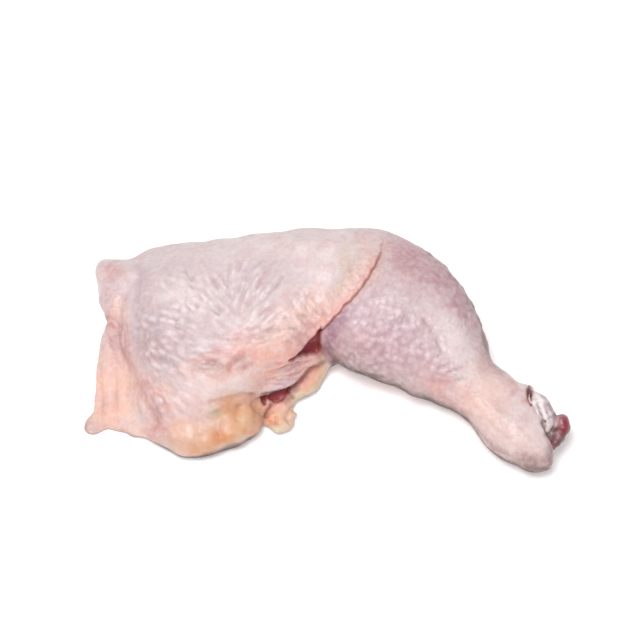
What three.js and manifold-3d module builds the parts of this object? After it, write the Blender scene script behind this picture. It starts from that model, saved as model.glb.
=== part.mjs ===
// A raw chicken leg quarter, lying skin side up: a broad thigh with loose skin flaps, a drumstick bent
// forward from the knee, and the shank bone whose knuckle shows at the hock, where the foot was cut off.
// Units are millimetres. +X runs from the hip end to the hock, +Y to the back of the thigh and +Z up.
// The origin is the centre of the underside's bounding box.
import * as THREE from "three";
import { mergeVertices } from "three/addons/utils/BufferGeometryUtils.js";
import { ImprovedNoise } from "three/addons/math/ImprovedNoise.js";
import Module from "manifold-3d";

const wasm = await Module();
wasm.setup();

// Driving dimensions.
const LENGTH = 209; // the whole leg quarter, from the corner of the skin flap to the knuckle
const THIGH_TOP = 38; // height of the thigh's crown
const CALF_TOP = 43; // height of the drumstick's calf
const CALF_HALF_WIDTH = 33;
const ANKLE_HALF_WIDTH = 15;
const SKIN = 4; // thickness of a loose flap of skin with its fat
const SHAFT_RADIUS = 4.5; // the shank bone, inside the drumstick
const BONE_GAP = 0.3; // between the bone and the flesh around it
const SINK = 3; // how far a soft underside would round below the table if nothing flattened it
const LUMP_HEIGHT = 0.7; // unevenness of the flesh
const LUMP_SIZE = 17;

const COLOURS = { skin: 0xe6cfcd, bone: 0xd9cdd0 };

// A station of a loft: the middle of its upright cross-section, half its width, and how far it rises
// above and drops below that middle.
const station = (x, y, z, halfWidth, rise, drop) => ({
  middle: new THREE.Vector3(x, y, z),
  size: new THREE.Vector3(halfWidth, rise, drop),
});

const signedPower = (value, power) => Math.sign(value) * Math.abs(value) ** power;

// A closed skin over upright cross-sections, which stand square to the spine unless across gives their
// direction. A low roundness makes the sections boxy and 1 makes them elliptical. A high bluntness keeps
// the ends full, and 2 tapers them like an egg.
function loft(stations, { around = 16, along = 12, roundness = 0.9, bluntness = 6, across } = {}) {
  const spine = new THREE.CatmullRomCurve3(stations.map((s) => s.middle), false, "centripetal");
  const sizes = new THREE.CatmullRomCurve3(stations.map((s) => s.size), false, "centripetal");
  const up = new THREE.Vector3(0, 0, 1);
  const geometry = new THREE.SphereGeometry(1, around, along);
  const position = geometry.attributes.position;
  const point = new THREE.Vector3();
  for (let i = 0; i < position.count; i++) {
    point.fromBufferAttribute(position, i);
    const t = Math.acos(THREE.MathUtils.clamp(point.y, -1, 1)) / Math.PI;
    const angle = Math.atan2(point.z, point.x);
    const closing = Math.sqrt(Math.max(0, 1 - Math.abs(2 * t - 1) ** bluntness));
    const size = sizes.getPoint(t).multiplyScalar(closing);
    const side = across ?? new THREE.Vector3().crossVectors(up, spine.getTangent(t)).normalize();
    const height = signedPower(Math.sin(angle), roundness);
    point.copy(spine.getPoint(t));
    point.addScaledVector(side, size.x * signedPower(Math.cos(angle), roundness));
    point.z += height * (height > 0 ? size.y : size.z);
    position.setXYZ(i, point.x, point.y, point.z);
  }
  return geometry;
}

// A rounded lump of flesh, fat or gristle, turned about Z.
function lump(middle, radii, turn = 0) {
  const geometry = new THREE.SphereGeometry(1, 14, 10);
  geometry.scale(...radii);
  geometry.rotateZ(THREE.MathUtils.degToRad(turn));
  geometry.translate(...middle);
  return geometry;
}

// Makes flesh uneven by a slow noise, the same on pieces that meet.
function uneven(geometry) {
  const noise = new ImprovedNoise();
  const position = geometry.attributes.position;
  for (let i = 0; i < position.count; i++) {
    const [x, y, z] = [position.getX(i), position.getY(i), position.getZ(i)];
    const at = (shift) => LUMP_HEIGHT * noise.noise(x / LUMP_SIZE + shift, y / LUMP_SIZE, z / LUMP_SIZE);
    position.setXYZ(i, x + at(0), y + at(40), z + 2 * at(80));
  }
  return geometry;
}

function toSolid(geometry) {
  const bare = geometry.clone();
  bare.deleteAttribute("normal");
  bare.deleteAttribute("uv");
  const merged = mergeVertices(bare, 1e-3);
  return new wasm.Manifold(
    new wasm.Mesh({
      numProp: 3,
      vertProperties: new Float32Array(merged.attributes.position.array),
      triVerts: new Uint32Array(merged.index.array),
    }),
  );
}

function toGeometry(solid) {
  const { vertProperties, triVerts } = solid.getMesh();
  const geometry = new THREE.BufferGeometry();
  geometry.setAttribute("position", new THREE.BufferAttribute(vertProperties, 3));
  geometry.setIndex(new THREE.BufferAttribute(triVerts, 1));
  geometry.computeVertexNormals();
  return geometry;
}

const join = (geometries) => geometries.map(toSolid).reduce((whole, next) => whole.add(next));

// The thigh is a low dome. Its front edge runs back to the knee, so its sections narrow to the right.
function thigh() {
  const section = (x, front, back, top) =>
    station(x, (front + back) / 2, top * 0.3, (back - front) / 2, top * 0.7, top * 0.3 + SINK);
  return loft(
    [
      section(-91, -8, 36, THIGH_TOP * 0.33),
      section(-84, -27, 39, THIGH_TOP * 0.46),
      section(-76, -42, 41, THIGH_TOP * 0.6),
      section(-65, -49, 43, THIGH_TOP * 0.75),
      section(-51, -46, 45, THIGH_TOP * 0.88),
      section(-38, -38, 46, THIGH_TOP * 0.96),
      section(-27, -31, 47, THIGH_TOP * 0.99),
      section(-16, -23, 47.5, THIGH_TOP * 1.02),
      section(-6, -13, 48, THIGH_TOP * 1.05),
      section(4, -4, 48, THIGH_TOP * 1.06),
      section(15, 6, 47.5, THIGH_TOP * 1.02),
      section(25, 19, 43, THIGH_TOP * 0.9),
    ],
    { around: 38, along: 30, roundness: 0.84, bluntness: 9, across: new THREE.Vector3(0, 1, 0) },
  );
}

// The drumstick runs from the knee, over the calf, to the ankle and the wider hock.
function drumstick() {
  const section = (x, y, halfWidth, top) =>
    station(x, y, top * 0.48, halfWidth, top * 0.52, top * 0.48 + SINK * 0.3);
  return loft(
    [
      section(-10, 28, CALF_HALF_WIDTH * 0.66, CALF_TOP * 0.75),
      section(9.5, 19.5, CALF_HALF_WIDTH, CALF_TOP * 0.93),
      section(26.5, 5.5, CALF_HALF_WIDTH * 1.01, CALF_TOP),
      section(40.5, -6.5, CALF_HALF_WIDTH * 0.88, CALF_TOP * 0.92),
      section(51, -18, CALF_HALF_WIDTH * 0.66, CALF_TOP * 0.77),
      section(60.5, -28, ANKLE_HALF_WIDTH * 1.04, CALF_TOP * 0.64),
      section(70.5, -36.5, ANKLE_HALF_WIDTH * 0.98, CALF_TOP * 0.58),
      section(80, -45.5, ANKLE_HALF_WIDTH * 1.12, CALF_TOP * 0.58),
      section(91, -53, ANKLE_HALF_WIDTH * 1.06, CALF_TOP * 0.55),
      section(103, -59, ANKLE_HALF_WIDTH * 0.8, CALF_TOP * 0.48),
    ],
    { around: 30, along: 34, roundness: 0.94 },
  );
}

// The edge of the thigh's skin, which rolls over the drumstick from the back of the knee to the knee pit.
function skinEdge() {
  return loft(
    [
      station(23, 28, THIGH_TOP * 0.95, 5, 3, 8),
      station(16.5, 17, THIGH_TOP * 1.02, 6, 3.5, 10),
      station(10.5, 7, THIGH_TOP * 1.01, 6.5, 3.5, 12),
      station(3.5, -1, THIGH_TOP * 0.92, 6.5, 4, 14),
      station(-4.5, -5.3, THIGH_TOP * 0.76, 6.5, 4.5, 14),
      station(-11, -9.5, THIGH_TOP * 0.61, 6.5, 4.5, 12),
      station(-18.5, -14.5, THIGH_TOP * 0.45, 6.5, 4, 10),
    ],
    { around: 14, along: 22, roundness: 1, bluntness: 5 },
  );
}

// The skin that was cut from the body lies loose at the hip end: a thick folded lobe at the back, and a
// thin flap at the front that ends in a drawn-out corner.
function hipFlaps() {
  const folded = loft(
    [
      station(-88, 39.5, SKIN, 14, SKIN * 1.5, SKIN + 1),
      station(-88.5, 31, SKIN, 13.5, SKIN * 2.1, SKIN + 1),
      station(-87.5, 20, SKIN, 12.5, SKIN * 1.9, SKIN + 1),
      station(-85, 10, SKIN, 11, SKIN * 1.2, SKIN + 1),
    ],
    { around: 18, along: 14, bluntness: 8, roundness: 0.85 },
  );
  const spread = loft(
    [
      station(-86, 12, SKIN / 2, 10, SKIN * 0.9, SKIN),
      station(-86, 0, SKIN / 2, 13, SKIN * 0.75, SKIN),
      station(-85, -17, SKIN / 2, 15.5, SKIN * 0.6, SKIN),
      station(-84, -32, SKIN / 2, 17, SKIN * 0.6, SKIN),
      station(-78, -47.5, SKIN / 2, 12, SKIN * 0.6, SKIN),
    ],
    { around: 18, along: 14, bluntness: 12, roundness: 0.75 },
  );
  const corner = loft(
    [
      station(-88, -34, SKIN / 2, 10, SKIN * 0.6, SKIN),
      station(-97, -38.5, SKIN / 2, 7, SKIN * 0.6, SKIN),
      station(-LENGTH / 2, -41.5, SKIN / 2, 3.5, SKIN * 0.6, SKIN),
    ],
    { around: 14, along: 10, roundness: 0.85 },
  );
  const behind = loft(
    [
      station(-90, 35.5, SKIN * 1.4, 7, SKIN, SKIN * 2),
      station(-75, 38, SKIN * 2, 8, SKIN * 1.3, SKIN * 3),
      station(-58, 39, SKIN * 2.6, 8, SKIN * 1.3, SKIN * 3),
      station(-44, 41, SKIN * 3, 7, SKIN * 1.3, SKIN * 3),
    ],
    { around: 14, along: 12, roundness: 1, bluntness: 4 },
  );
  return [folded, spread, corner, behind];
}

// Yellow fat bulges out along the thigh's front, below a fold in the skin.
function frontFat() {
  return loft(
    [
      station(-78, -40, 4, 8, 3.5, 6),
      station(-68, -46.5, 6.5, 9, 5.5, 9),
      station(-56, -48.5, 7.5, 9.5, 6.5, 11),
      station(-45, -47, 8, 9.5, 7, 12),
      station(-36, -42.5, 8, 9.5, 6.5, 12),
      station(-30, -35, 8, 7, 5, 12),
    ],
    { around: 16, along: 18, bluntness: 4 },
  );
}

// The hem of the thigh's skin crosses the knee pit to the drumstick as a narrowing web. Bare flesh shows
// in the clefts above and below it, and two lobes of fat hang out under it.
function kneePit() {
  const web = loft(
    [
      station(-44, -28, 15, 6, 4.5, 10),
      station(-31, -25, 15, 7, 4.5, 9),
      station(-19, -22, 13, 6.5, 4, 7),
      station(-11.5, -17.5, 11.5, 4.5, 3.5, 7),
      station(-4, -14, 10.5, 3.2, 3.2, 7),
      station(4, -10.5, 10, 3.2, 3, 7),
      station(11, -7, 10, 3.5, 3, 7),
    ],
    { around: 14, along: 22, roundness: 1 },
  );
  const upperFlesh = lump([-7, -10, 8], [14, 9, 9], 35);
  const lowerFlesh = lump([-23, -30, 3], [13, 10, 5], 20);
  const upperLobe = loft(
    [
      station(-13, -27.5, 4, 4, 3.5, 6),
      station(-7.5, -22.5, 5, 5.5, 4, 7),
      station(1, -14.5, 6, 4.5, 3.5, 7),
    ],
    { around: 14, bluntness: 4, roundness: 1 },
  );
  const lowerLobe = lump([-19.3, -38, 4], [6.5, 8, 5], -25);
  return [web, upperFlesh, lowerFlesh, upperLobe, lowerLobe];
}

// The hock is cut obliquely, so the skin reaches further along the front of the bone than the back.
function hockCut() {
  const block = new THREE.BoxGeometry(60, 120, 120);
  block.translate(30, 0, 0);
  block.rotateY(THREE.MathUtils.degToRad(3));
  block.rotateZ(THREE.MathUtils.degToRad(23));
  block.translate(88, -43, 13);
  return block;
}

// The shank bone: a shaft down the drumstick that spreads into two knobs at the hock, with a groove between.
function shankBone(extra = 0) {
  const shaft = loft(
    [
      station(18, 14, 20, 7 + extra, 7 + extra, 7 + extra),
      station(34, 1, 19, SHAFT_RADIUS + extra, SHAFT_RADIUS + extra, SHAFT_RADIUS + extra),
      station(56, -20, 15, SHAFT_RADIUS + extra, SHAFT_RADIUS + extra, SHAFT_RADIUS + extra),
      station(74, -35, 13.5, 5.5 + extra, 5 + extra, 5 + extra),
      station(85, -41.5, 13.5, 8 + extra, 7 + extra, 7 + extra),
      station(94, -47, 13, 8 + extra, 7.5 + extra, 7 + extra),
    ],
    { around: 16, along: 26, roundness: 1 },
  );
  const backKnob = lump([87.5, -38, 15], [6 + extra, 7.5 + extra, 7 + extra], -20);
  const frontKnob = lump([97, -47.5, 11.5], [6 + extra, 6 + extra, 7 + extra], -30);
  return join([shaft, backKnob, frontKnob]);
}

// Everything above the table, as a block: what it leaves of a soft body has a flat underside to rest on.
function aboveTable() {
  const block = new THREE.BoxGeometry(2 * LENGTH, 2 * LENGTH, LENGTH);
  block.translate(0, 0, LENGTH / 2);
  return block;
}

function legFlesh() {
  const soft = [thigh(), drumstick(), skinEdge(), ...hipFlaps(), frontFat(), ...kneePit()];
  return join(soft.map(uneven))
    .intersect(toSolid(aboveTable()))
    .subtract(toSolid(hockCut()))
    .subtract(shankBone(BONE_GAP));
}

function meshOf(name, solid, colour, roughness) {
  const material = new THREE.MeshStandardMaterial({ color: colour, roughness, metalness: 0 });
  const mesh = new THREE.Mesh(toGeometry(solid), material);
  mesh.name = name;
  return mesh;
}

const legQuarter = new THREE.Group();
legQuarter.add(meshOf("leg_flesh_and_skin", legFlesh(), COLOURS.skin, 0.45));
legQuarter.add(meshOf("shank_bone", shankBone(), COLOURS.bone, 0.35));

// The origin goes to the middle of the underside.
const bounds = new THREE.Box3().setFromObject(legQuarter, true);
const middle = bounds.getCenter(new THREE.Vector3());
legQuarter.position.set(-middle.x, -middle.y, -bounds.min.z);

export default legQuarter;
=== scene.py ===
"""Looks of a raw chicken leg quarter: its wrinkled skin, goose bumps, fat, bare flesh and cut hock."""

import math

import bmesh
import bpy
import numpy as np
from bpy.props import FloatProperty, FloatVectorProperty, IntProperty, PointerProperty
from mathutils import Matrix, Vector
from mathutils.kdtree import KDTree


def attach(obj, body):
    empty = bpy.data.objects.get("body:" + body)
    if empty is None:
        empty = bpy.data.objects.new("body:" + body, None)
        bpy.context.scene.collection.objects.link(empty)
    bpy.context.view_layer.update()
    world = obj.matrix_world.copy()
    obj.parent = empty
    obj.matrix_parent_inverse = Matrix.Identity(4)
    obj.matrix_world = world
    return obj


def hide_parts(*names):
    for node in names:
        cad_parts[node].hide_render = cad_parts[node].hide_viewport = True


bl_info = {
    "name": "Raw chicken leg quarter",
    "version": (1, 0, 0),
    "blender": (4, 5, 0),
    "location": "3D View > Sidebar > Leg quarter",
    "description": "Skin, knuckle and studio of a raw chicken leg quarter",
    "category": "Object",
}

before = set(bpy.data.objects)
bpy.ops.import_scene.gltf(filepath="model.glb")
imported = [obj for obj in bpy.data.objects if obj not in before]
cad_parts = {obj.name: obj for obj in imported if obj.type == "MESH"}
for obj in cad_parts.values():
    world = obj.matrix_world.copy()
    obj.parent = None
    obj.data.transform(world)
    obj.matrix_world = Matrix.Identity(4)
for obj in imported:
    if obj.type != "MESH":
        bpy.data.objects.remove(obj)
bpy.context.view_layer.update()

MM = 0.001  # shapes are worked out in millimetres and written in metres

# The photograph's view. Places on the object are named by the pixel at which the view shows them.
PHOTO_SIZE = 640
PIXEL = 0.44  # millimetres of the object in a pixel, at the target
ELEVATION = math.radians(60)
DISTANCE = 1000.0  # millimetres from the camera to the target
FORWARD = np.array([0.0, math.cos(ELEVATION), -math.sin(ELEVATION)])
UPWARD = np.array([0.0, math.sin(ELEVATION), math.cos(ELEVATION)])
KNEE = np.array([0.88, 8.80, 0.0])  # on the table, inside the bend of the knee
KNEE_PIXEL = (327, 345)
MIDDLE = PHOTO_SIZE / 2
TARGET = KNEE + np.array([MIDDLE - KNEE_PIXEL[0], 0, 0]) * PIXEL + UPWARD * (KNEE_PIXEL[1] - MIDDLE) * PIXEL
EYE = TARGET - FORWARD * DISTANCE

# Lines on the skin, as pixels of the photograph. The first is the edge of the thigh's skin on the drumstick.
HEM = ((290, 362), (300, 353.5), (310, 343), (320, 331.7), (333, 319), (346.7, 305), (360, 289.5), (369, 277),
       (375, 265), (380, 253), (382, 243), (383, 234))

# The web of thin skin in the knee pit, and what crosses it
WEB_TOP = ((262, 371.5), (275, 368.5), (287, 364.5), (298, 361), (309, 358.5), (322, 355.5))
WEB_RIDGES = (((284, 374.5), (294, 371), (302, 367.5), (310, 363.5), (321, 358.5)),
              ((262, 380), (275, 377.5), (288, 374), (298, 371)),
              ((298, 378), (304, 371.5), (311, 366), (321, 361.5)))
WEB_FURROWS = (((266, 376), (280, 372.5), (293, 367.5), (304, 363), (314, 360)),
               ((282, 378.5), (294, 375), (303, 369.5), (310, 366)))
WEB_RIM = ((258, 394), (270, 391), (281, 388), (290, 384.5), (298, 378.5))
WEB_FOOT = ((287, 391), (291, 389.5), (296, 386), (301.5, 380.5), (307, 374.5), (314, 368.8), (328, 364.4))
PIT_FOLD = ((288, 391), (291, 395), (294, 400))

# The fat along the thigh's front
FAT_FOLD = ((206, 403), (214, 402), (224, 400.5), (235, 397.5), (246, 395), (259, 396.5))
FAT_CREASES = (((216, 408), (219, 418), (217, 430), (222, 440)), ((240, 404), (236, 414), (238, 424)),
               ((200, 430), (196, 441), (200, 452)), ((250, 402), (256, 412), (254, 424)))
LOBE_CRACK = ((273, 403), (270, 407), (266.5, 413), (265, 420))
DARK_HOLE = ((262, 396), (264, 401), (266, 406))
LOBE_LINES = (((267, 421), (272, 423.5), (279, 423)), ((294, 404), (289, 409), (287, 418), (290, 426)))

# The loose flap
FLAP_CREASE = ((108, 314), (116, 324), (119.5, 344), (127, 362), (134, 379), (141, 393), (149, 405),
               (155, 418), (158, 440))
FLAP_RUMPLE = ((112, 330), (114, 345), (121, 360), (125, 378))
FLAP_SEAM = ((139, 262), (137.5, 278), (137, 295), (136, 310), (130, 322))

# The thigh
BACK_FOLD = ((200, 242), (188, 246), (177, 250), (168, 256.5), (160, 264))
THIGH_DIMPLE = ((228, 372), (236, 363), (250, 353))
SHORT_CREASE = ((199, 364), (210, 362), (218, 365), (225, 370))
LONG_CREASES = (((183, 266), (190, 278), (198, 288), (207, 296)), ((222, 278), (227, 288), (231, 300)),
                ((205, 300), (211, 309), (221, 317)), ((247, 276), (244, 290), (243, 304)),
                ((268, 268), (261, 280), (256, 291)), ((285, 274), (276, 287), (266, 297)))

# The drumstick: a shallow valley, the nick at the cut hock, the shaded rim of its back, where its front meets
# the table, and grey strokes
VALLEY = ((421, 316), (426, 323), (433, 333), (439, 343), (445, 353))
HOCK_NICK = ((529.5, 385), (529.5, 391), (530, 396), (532.5, 402), (534.5, 405))
BACK_RIM = ((420, 248), (428, 252), (440, 262), (452, 275), (462, 287), (472, 301), (479, 316), (483, 332),
            (486, 346), (492, 360), (501, 371), (512, 379))
CONTACT = ((330, 363), (345, 369), (360, 375.5), (372, 380.5), (385, 385), (398, 390.5), (410, 395.5),
           (425, 400.5), (440, 406), (452, 410.5), (463, 416.5), (470, 423))
GREY_STROKES = (((446, 374), (455, 369.5), (466, 366)), ((452, 382), (461, 379), (471, 377)),
                ((436, 369), (444, 366), (452, 364)), ((430, 340), (436, 350), (439, 360)))

# Openings in which bare flesh shows, as outlines in pixels
UPPER_CLEFT = ((321.5, 326), (313, 335.5), (305.5, 343.5), (299.5, 350.5), (289, 361.5), (298, 358.5),
               (305, 357.5), (312, 355.5), (320, 353.5), (321, 342), (321.5, 334))
LOWER_CLEFT = ((261, 398), (262.5, 403), (266, 404), (268, 401), (272, 401.5), (277, 403.5), (283, 401),
               (287, 396.5), (292, 388.5), (286, 389.5), (278, 391.3), (271, 393.3), (266, 394.8))


def seen_at(points):
    """The pixels of the photograph at which points of the object are seen."""
    offset = points - EYE
    depth = offset @ FORWARD
    scale = DISTANCE / PIXEL / depth
    return MIDDLE + offset[..., 0] * scale, MIDDLE - (offset @ UPWARD) * scale


def place(u, v, height):
    """The point at that height above the table that the view shows at pixel u, v."""
    ray = FORWARD + np.array([u - MIDDLE, 0, 0]) * PIXEL / DISTANCE + UPWARD * (MIDDLE - v) * PIXEL / DISTANCE
    return EYE + ray * (height - EYE[2]) / ray[2]


def ramp(values, start, end):
    """Runs smoothly from 0 at start to 1 at end."""
    share = np.clip((values - start) / (end - start), 0, 1)
    return share * share * (3 - 2 * share)


def curve_through(points, steps=8):
    """Points close together on a smooth curve through a few."""
    p = np.array(points, float)
    p = np.vstack([2 * p[0] - p[1], p, 2 * p[-1] - p[-2]])
    t = np.linspace(0, 1, steps, endpoint=False)[:, None]
    runs = []
    for a, b, c, d in zip(p[:-3], p[1:-2], p[2:-1], p[3:]):
        bend = (2 * a - 5 * b + 4 * c - d) * t ** 2 + (3 * b - a - 3 * c + d) * t ** 3
        runs.append(0.5 * (2 * b + (c - a) * t + bend))
    return np.vstack(runs + [p[-2:-1]])


FAR_AWAY = 1e3  # pixels, for places out of a line's reach


def along(u, v, line, reach=40):
    """How far each pixel is from a line, positive to the left of its run, and how far along it."""
    path = curve_through(line)
    far = np.full(len(u), FAR_AWAY)
    share = np.zeros(len(u))
    low, high = path.min(0) - reach, path.max(0) + reach
    close = np.flatnonzero((u > low[0]) & (u < high[0]) & (v > low[1]) & (v < high[1]))
    here = np.column_stack([u[close], v[close]])
    best = np.full(len(close), FAR_AWAY)
    side = np.ones(len(close))
    part = np.zeros(len(close))
    for i, (a, b) in enumerate(zip(path[:-1], path[1:])):
        run = b - a
        t = np.clip(((here - a) @ run) / (run @ run), 0, 1)
        gap = here - a - t[:, None] * run
        size = np.hypot(gap[:, 0], gap[:, 1])
        nearer = size < best
        best[nearer] = size[nearer]
        side[nearer] = np.sign(gap[nearer, 0] * run[1] - gap[nearer, 1] * run[0] + 1e-9)
        part[nearer] = (i + t[nearer]) / (len(path) - 1)
    far[close] = best * side
    share[close] = part
    return far, share


def inside(u, v, outline):
    """How far each pixel is inside an outline, negative outside."""
    path = curve_through(outline + outline[:1])
    gap = np.abs(along(u, v, outline + outline[:1], reach=20)[0])
    hit = np.zeros(len(u), bool)
    close = np.flatnonzero(gap < FAR_AWAY)
    x, y = u[close], v[close]
    odd = np.zeros(len(close), bool)
    for (ax, ay), (bx, by) in zip(path[:-1], path[1:]):
        if ay != by:
            odd ^= ((ay > y) != (by > y)) & (x < (bx - ax) * (y - ay) / (by - ay) + ax)
    hit[close] = odd
    return np.where(hit, gap, -gap)


def patch(u, v, middle, radii, turn=0.0):
    """1 in the middle of a soft-edged oval of pixels, falling to 0 outside it."""
    angle = math.radians(turn)
    x = (u - middle[0]) * math.cos(angle) + (v - middle[1]) * math.sin(angle)
    y = (v - middle[1]) * math.cos(angle) - (u - middle[0]) * math.sin(angle)
    return np.exp(-((x / radii[0]) ** 2 + (y / radii[1]) ** 2) ** 1.5)


def ovals(u, v, spots):
    """The highest of several soft ovals of pixels: middle, radii, turn and strength each."""
    highest = np.zeros(len(u))
    for middle, radii, turn, amount in spots:
        highest = np.maximum(highest, amount * patch(u, v, middle, radii, turn))
    return highest


NOISE_SIDE = 64
NOISE_BLOCK = np.random.default_rng(7).uniform(-1, 1, NOISE_SIDE ** 3)
SEED_STEP = np.array([17.3, 5.9, 11.7])  # how far apart in the block the noise of two seeds starts


def cloud(points, size, seed, octaves=1):
    """Smooth noise from about -1 to 1 whose lumps are of that size in millimetres."""
    total = np.zeros(len(points))
    for octave in range(octaves):
        at = points * (2 ** octave / size) + SEED_STEP * (seed + 3 * octave)
        cell = np.floor(at)
        t = at - cell
        t = t * t * (3 - 2 * t)
        cell = cell.astype(np.int64)
        layer = np.zeros(len(points))
        ends = [(cell[:, axis] % NOISE_SIDE, (cell[:, axis] + 1) % NOISE_SIDE) for axis in range(3)]
        shares = [(1 - t[:, axis], t[:, axis]) for axis in range(3)]
        for i in (0, 1):
            for j in (0, 1):
                plane = (ends[0][i] * NOISE_SIDE + ends[1][j]) * NOISE_SIDE
                share = shares[0][i] * shares[1][j]
                for k in (0, 1):
                    layer += share * shares[2][k] * NOISE_BLOCK[plane + ends[2][k]]
        total += layer * 0.5 ** octave
    return total * 1.6


def band(values, middle, width):
    """1 at the middle value, falling to 0 beyond the width on both sides."""
    return np.exp(-((values - middle) / width) ** 2)


def coordinates(mesh):
    """The points of a mesh, in metres."""
    points = np.empty(len(mesh.vertices) * 3)
    mesh.vertices.foreach_get("co", points)
    return points.reshape(-1, 3)


TOUCHING = 0.05  # millimetres above the table below which a point rests on it


class Surface:
    """The points of a mesh, in millimetres, with the tools that shape them."""

    def __init__(self, mesh):
        self.mesh = mesh
        self.points = coordinates(mesh) / MM
        self.count = len(self.points)
        ends = np.empty(len(mesh.edges) * 2, np.int64)
        mesh.edges.foreach_get("vertices", ends)
        self.ends = ends.reshape(-1, 2)
        self.degree = np.bincount(ends, minlength=self.count)
        spans = self.points[self.ends[:, 0]] - self.points[self.ends[:, 1]]
        self.grain = np.median(np.linalg.norm(spans, axis=1))

    def average(self, values):
        """The mean of each point's neighbours."""
        a, b = self.ends.T
        total = np.bincount(a, values[b], self.count) + np.bincount(b, values[a], self.count)
        return total / self.degree

    def smooth(self, rounds, weight):
        """Softens the shape where weight is high. The flat underside stays on the table."""
        share = 0.5 * weight
        free = self.points[:, 2] > TOUCHING
        for _ in range(rounds):
            for axis in range(3):
                values = self.points[:, axis]
                moved = values + share * (self.average(values) - values)
                self.points[:, axis] = np.where(free, moved, values) if axis == 2 else moved

    def normals(self):
        """Outward normals of the present shape."""
        self.write()
        out = np.empty(self.count * 3)
        self.mesh.vertex_normals.foreach_get("vector", out)
        return out.reshape(-1, 3)

    def push(self, amount, direction=None):
        """Moves the points out by an amount in millimetres, along the normals or one direction."""
        way = self.normals() if direction is None else direction
        self.points = self.points + way * amount[:, None]
        self.points[:, 2] = np.maximum(self.points[:, 2], 0)

    def write(self):
        """Puts the points back into the mesh."""
        self.mesh.vertices.foreach_set("co", (self.points * MM).ravel())
        self.mesh.update()

    def mark(self, name, values):
        """Keeps a value between 0 and 1 for each point, for the materials to read."""
        old = self.mesh.attributes.get(name)
        attribute = old or self.mesh.attributes.new(name, "FLOAT", "POINT")
        attribute.data.foreach_set("value", np.clip(values, 0, 1).astype(np.float32))


class Buckets:
    """Sorts points into square columns, to find those near a place quickly."""

    def __init__(self, points, side):
        self.points = points
        self.side = side
        self.low = points.min(0) - side
        cell = self.cell_of(points)
        self.row = int(cell[:, 1].max()) + 3
        key = cell[:, 0] * self.row + cell[:, 1]
        self.order = np.argsort(key, kind="stable")
        self.keys = key[self.order]

    def cell_of(self, points):
        """The column and row of squares that each point is in."""
        return ((points[..., :2] - self.low[:2]) / self.side).astype(np.int64)

    def near(self, middle):
        """The points nearer than a square's side: their numbers, offsets and squared distances."""
        x, y = self.cell_of(middle)
        ends = [(column * self.row + y - 1, column * self.row + y + 2) for column in (x - 1, x, x + 1)]
        cuts = np.searchsorted(self.keys, np.array(ends).ravel())
        found = np.concatenate([self.order[cuts[i]:cuts[i + 1]] for i in (0, 2, 4)])
        offset = self.points[found] - middle
        square = np.einsum("ij,ij->i", offset, offset)
        keep = square < self.side ** 2
        return found[keep], offset[keep], square[keep]


def sideways(surface, way):
    """At each point, the direction on the surface across way."""
    across = np.cross(surface.normals(), way)
    return across / (np.linalg.norm(across, axis=1, keepdims=True) + 1e-9)


USABLE = 0.04  # the least value of a place that counts


def scattered(surface, where, density, rng):
    """Numbers of points picked at random where the value of where is high, so many to a square millimetre."""
    usable = np.flatnonzero(where > USABLE)
    number = int(len(usable) * surface.grain ** 2 * density)
    return rng.choice(usable, min(number, len(usable)), replace=False)


WAVE_PATCH = 1.15  # how far a patch of waves reaches, in lengths of its waves
WAVE_PATCHES = 2.5  # patches on a square whose side is a wave's length


def wave_field(surface, where, way, length, seed):
    """Waves whose crests run along way at each point, length apart, and fork and end as creases in skin do.
    Gives their height from -1 to 1 where the value of where is high, by adding up many patches of waves."""
    rng = np.random.default_rng(seed)
    reach = WAVE_PATCH * length
    buckets = Buckets(surface.points, 2.5 * reach)
    across = sideways(surface, way)
    total = np.zeros(surface.count, complex)
    for index in scattered(surface, where, WAVE_PATCHES / length ** 2, rng):
        close, offset, square = buckets.near(surface.points[index])
        pitch = length * rng.uniform(0.8, 1.25)
        wave = offset @ across[index] * (2 * math.pi / pitch) + rng.uniform(0, 2 * math.pi)
        total[close] += np.exp(1j * wave - square / (2 * reach ** 2))
    return np.cos(np.angle(total)) * (1 - np.exp(-np.abs(total) ** 2))


DAB_CLEARANCE = 3.2  # square of how far a stroke keeps others away, in its own half lengths and widths


def dabs(surface, where, way, half_length, half_width, density, room, seed):
    """Short strokes along way: 1 on the middle line of a stroke, 0 off it. Room is the clear space beside
    them, as a share of their width."""
    rng = np.random.default_rng(seed)
    across = sideways(surface, way)
    buckets = Buckets(surface.points, 2.2 * half_length)
    value = np.zeros(surface.count)
    taken = np.zeros(surface.count, bool)
    for index in scattered(surface, where, density, rng):
        length = half_length * rng.uniform(0.6, 1.4)
        width = half_width * rng.uniform(0.75, 1.3)
        strength = rng.uniform(0.35, 1.0)
        bend = rng.uniform(-0.06, 0.06)
        if taken[index]:
            continue
        close, offset, square = buckets.near(surface.points[index])
        ahead = offset @ way[index]
        aside = offset @ across[index] + bend * ahead ** 2
        gap = (ahead / length) ** 2 + (aside / width) ** 2
        value[close] = np.maximum(value[close], strength * np.exp(-gap))
        taken[close[(ahead / length) ** 2 + (aside / (room * width)) ** 2 < DAB_CLEARANCE]] = True
    return value


CELL_REACH = 3.0  # farther than any cell reaches, in its half lengths and widths
CELL_CLEARANCE = 1.25  # how far a cell keeps the middles of others away, in the same measure
CELL_TRIES = 2.5  # places that are tried in a rectangle of its half length and half width
CELL_WAVER = 0.15  # how uneven its outline is, in the same measure
BORDER = 0.85  # how much farther the second nearest cell is where the border has ended


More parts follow.
